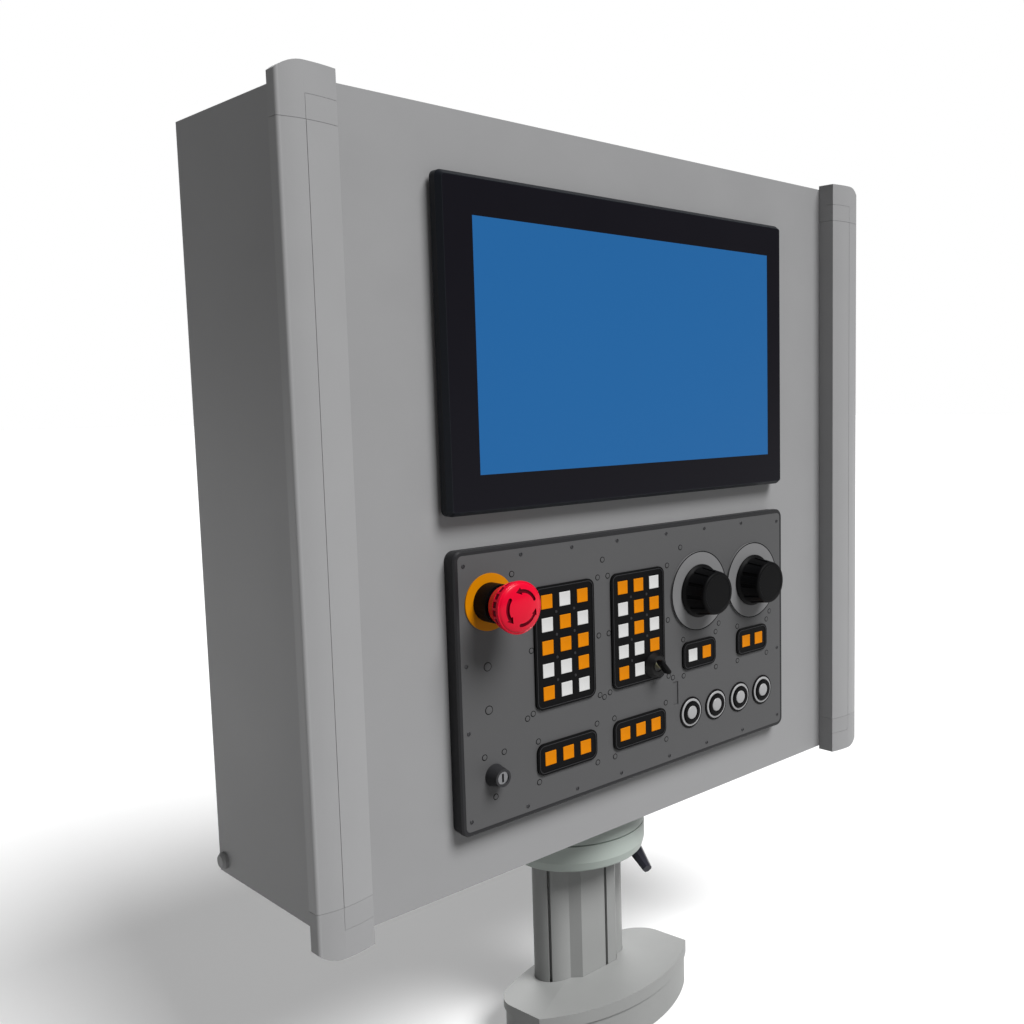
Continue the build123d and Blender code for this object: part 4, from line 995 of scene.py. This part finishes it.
select_nothing()
bpy.ops.mesh.primitive_plane_add(size=floor_size, location=(0, 0, cad_box[0][2]))
floor = bpy.context.object
floor.name = "floor"
floor_paint = finish("floor_paint", tint(250, 250, 250), 0.9, 0.00005, 0.01, mottling=0.01)
floor.data.materials.append(floor_paint)
tree = floor_paint.node_tree
shader = tree.nodes["Principled BSDF"]
paths = tree.nodes.new("ShaderNodeLightPath")
seen = tree.nodes.new("ShaderNodeMath")
seen.operation = "MAXIMUM"
pale = tree.nodes.new("ShaderNodeMix")
pale.data_type = "RGBA"
pale.inputs["A"].default_value = floor_for_light
painted = shader.inputs["Base Color"].links[0].from_socket
tree.links.new(paths.outputs["Is Camera Ray"], seen.inputs[0])
tree.links.new(paths.outputs["Is Glossy Ray"], seen.inputs[1])
tree.links.new(seen.outputs[0], pale.inputs["Factor"])
tree.links.new(painted, pale.inputs["B"])
tree.links.new(pale.outputs["Result"], shader.inputs["Base Color"])

world = bpy.data.worlds.new("studio")
scene.world = world
world.use_nodes = True
tree = world.node_tree
background = tree.nodes["Background"]
paths = tree.nodes.new("ShaderNodeLightPath")
shown = tree.nodes.new("ShaderNodeMath")
mirrored = tree.nodes.new("ShaderNodeMath")
shown.operation = "MULTIPLY_ADD"
shown.inputs[1].default_value = world_for_camera
shown.inputs[2].default_value = world_for_light
mirrored.operation = "MULTIPLY_ADD"
mirrored.inputs[1].default_value = world_for_mirrors
tree.links.new(paths.outputs["Is Camera Ray"], shown.inputs[0])
tree.links.new(paths.outputs["Is Glossy Ray"], mirrored.inputs[0])
tree.links.new(shown.outputs[0], mirrored.inputs[2])
tree.links.new(mirrored.outputs[0], background.inputs["Strength"])
background.inputs["Color"].default_value = (1, 1, 1, 1)
print("floor at", round(cad_box[0][2], 4))

# %% [markdown]
# ## Light
# One large soft lamp stands in front of the panel, high and a little to the right, so that the
# front is even and the side wall falls into shade. A weaker lamp from behind lights the rear door.

# %% Lamps
def lamp(name, strength, softness, direction):
    """A distant lamp that shines along a direction."""
    data = bpy.data.lights.new(name, "SUN")
    data.energy = strength
    data.angle = math.radians(softness)
    holder = bpy.data.objects.new(name, data)
    holder.rotation_mode = "QUATERNION"
    holder.rotation_quaternion = Vector(direction).to_track_quat("-Z", "Y")
    scene.collection.objects.link(holder)
    return holder


lamp("front_lamp", strength=3.75, softness=30, direction=(-0.15, 0.64, -0.75))
lamp("back_lamp", strength=1.5, softness=40, direction=(-0.5, -0.6, -0.6))
print("two lamps")

# %% [markdown]
# ## Camera
# The camera stands where the photographer stood: to the left of the panel, at about the height of
# the display. Its turn is built from three directions. Its focal length and the place it looks
# straight at are given in pixels of the picture, and a small shift frames the object.

# %% Camera
eye = Vector((-0.77829, -0.92223, 0.69250))
yaw, pitch, roll = 0.8371, 0.1062, 0.0101
picture_width = 1024
focal_length = 1090.4
straight_ahead = 717
sensor_width = 36

level_ahead = Vector((math.sin(yaw), math.cos(yaw), 0))
level_right = Vector((math.cos(yaw), -math.sin(yaw), 0))
forward = level_ahead * math.cos(pitch) - Vector((0, 0, math.sin(pitch)))
level_down = forward.cross(level_right)
right = level_right * math.cos(roll) + level_down * math.sin(roll)
down = level_down * math.cos(roll) - level_right * math.sin(roll)
lens_data = bpy.data.cameras.new("camera")
lens_data.sensor_width = sensor_width
lens_data.lens = focal_length / picture_width * sensor_width
lens_data.shift_x = 0.5 - straight_ahead / picture_width
camera = bpy.data.objects.new("camera", lens_data)
turn = Matrix((right, -down, -forward)).transposed()
camera.matrix_world = Matrix.Translation(eye) @ turn.to_4x4()
scene.collection.objects.link(camera)
scene.camera = camera
print("lens", round(lens_data.lens, 2), "mm, shift", round(lens_data.shift_x, 3))
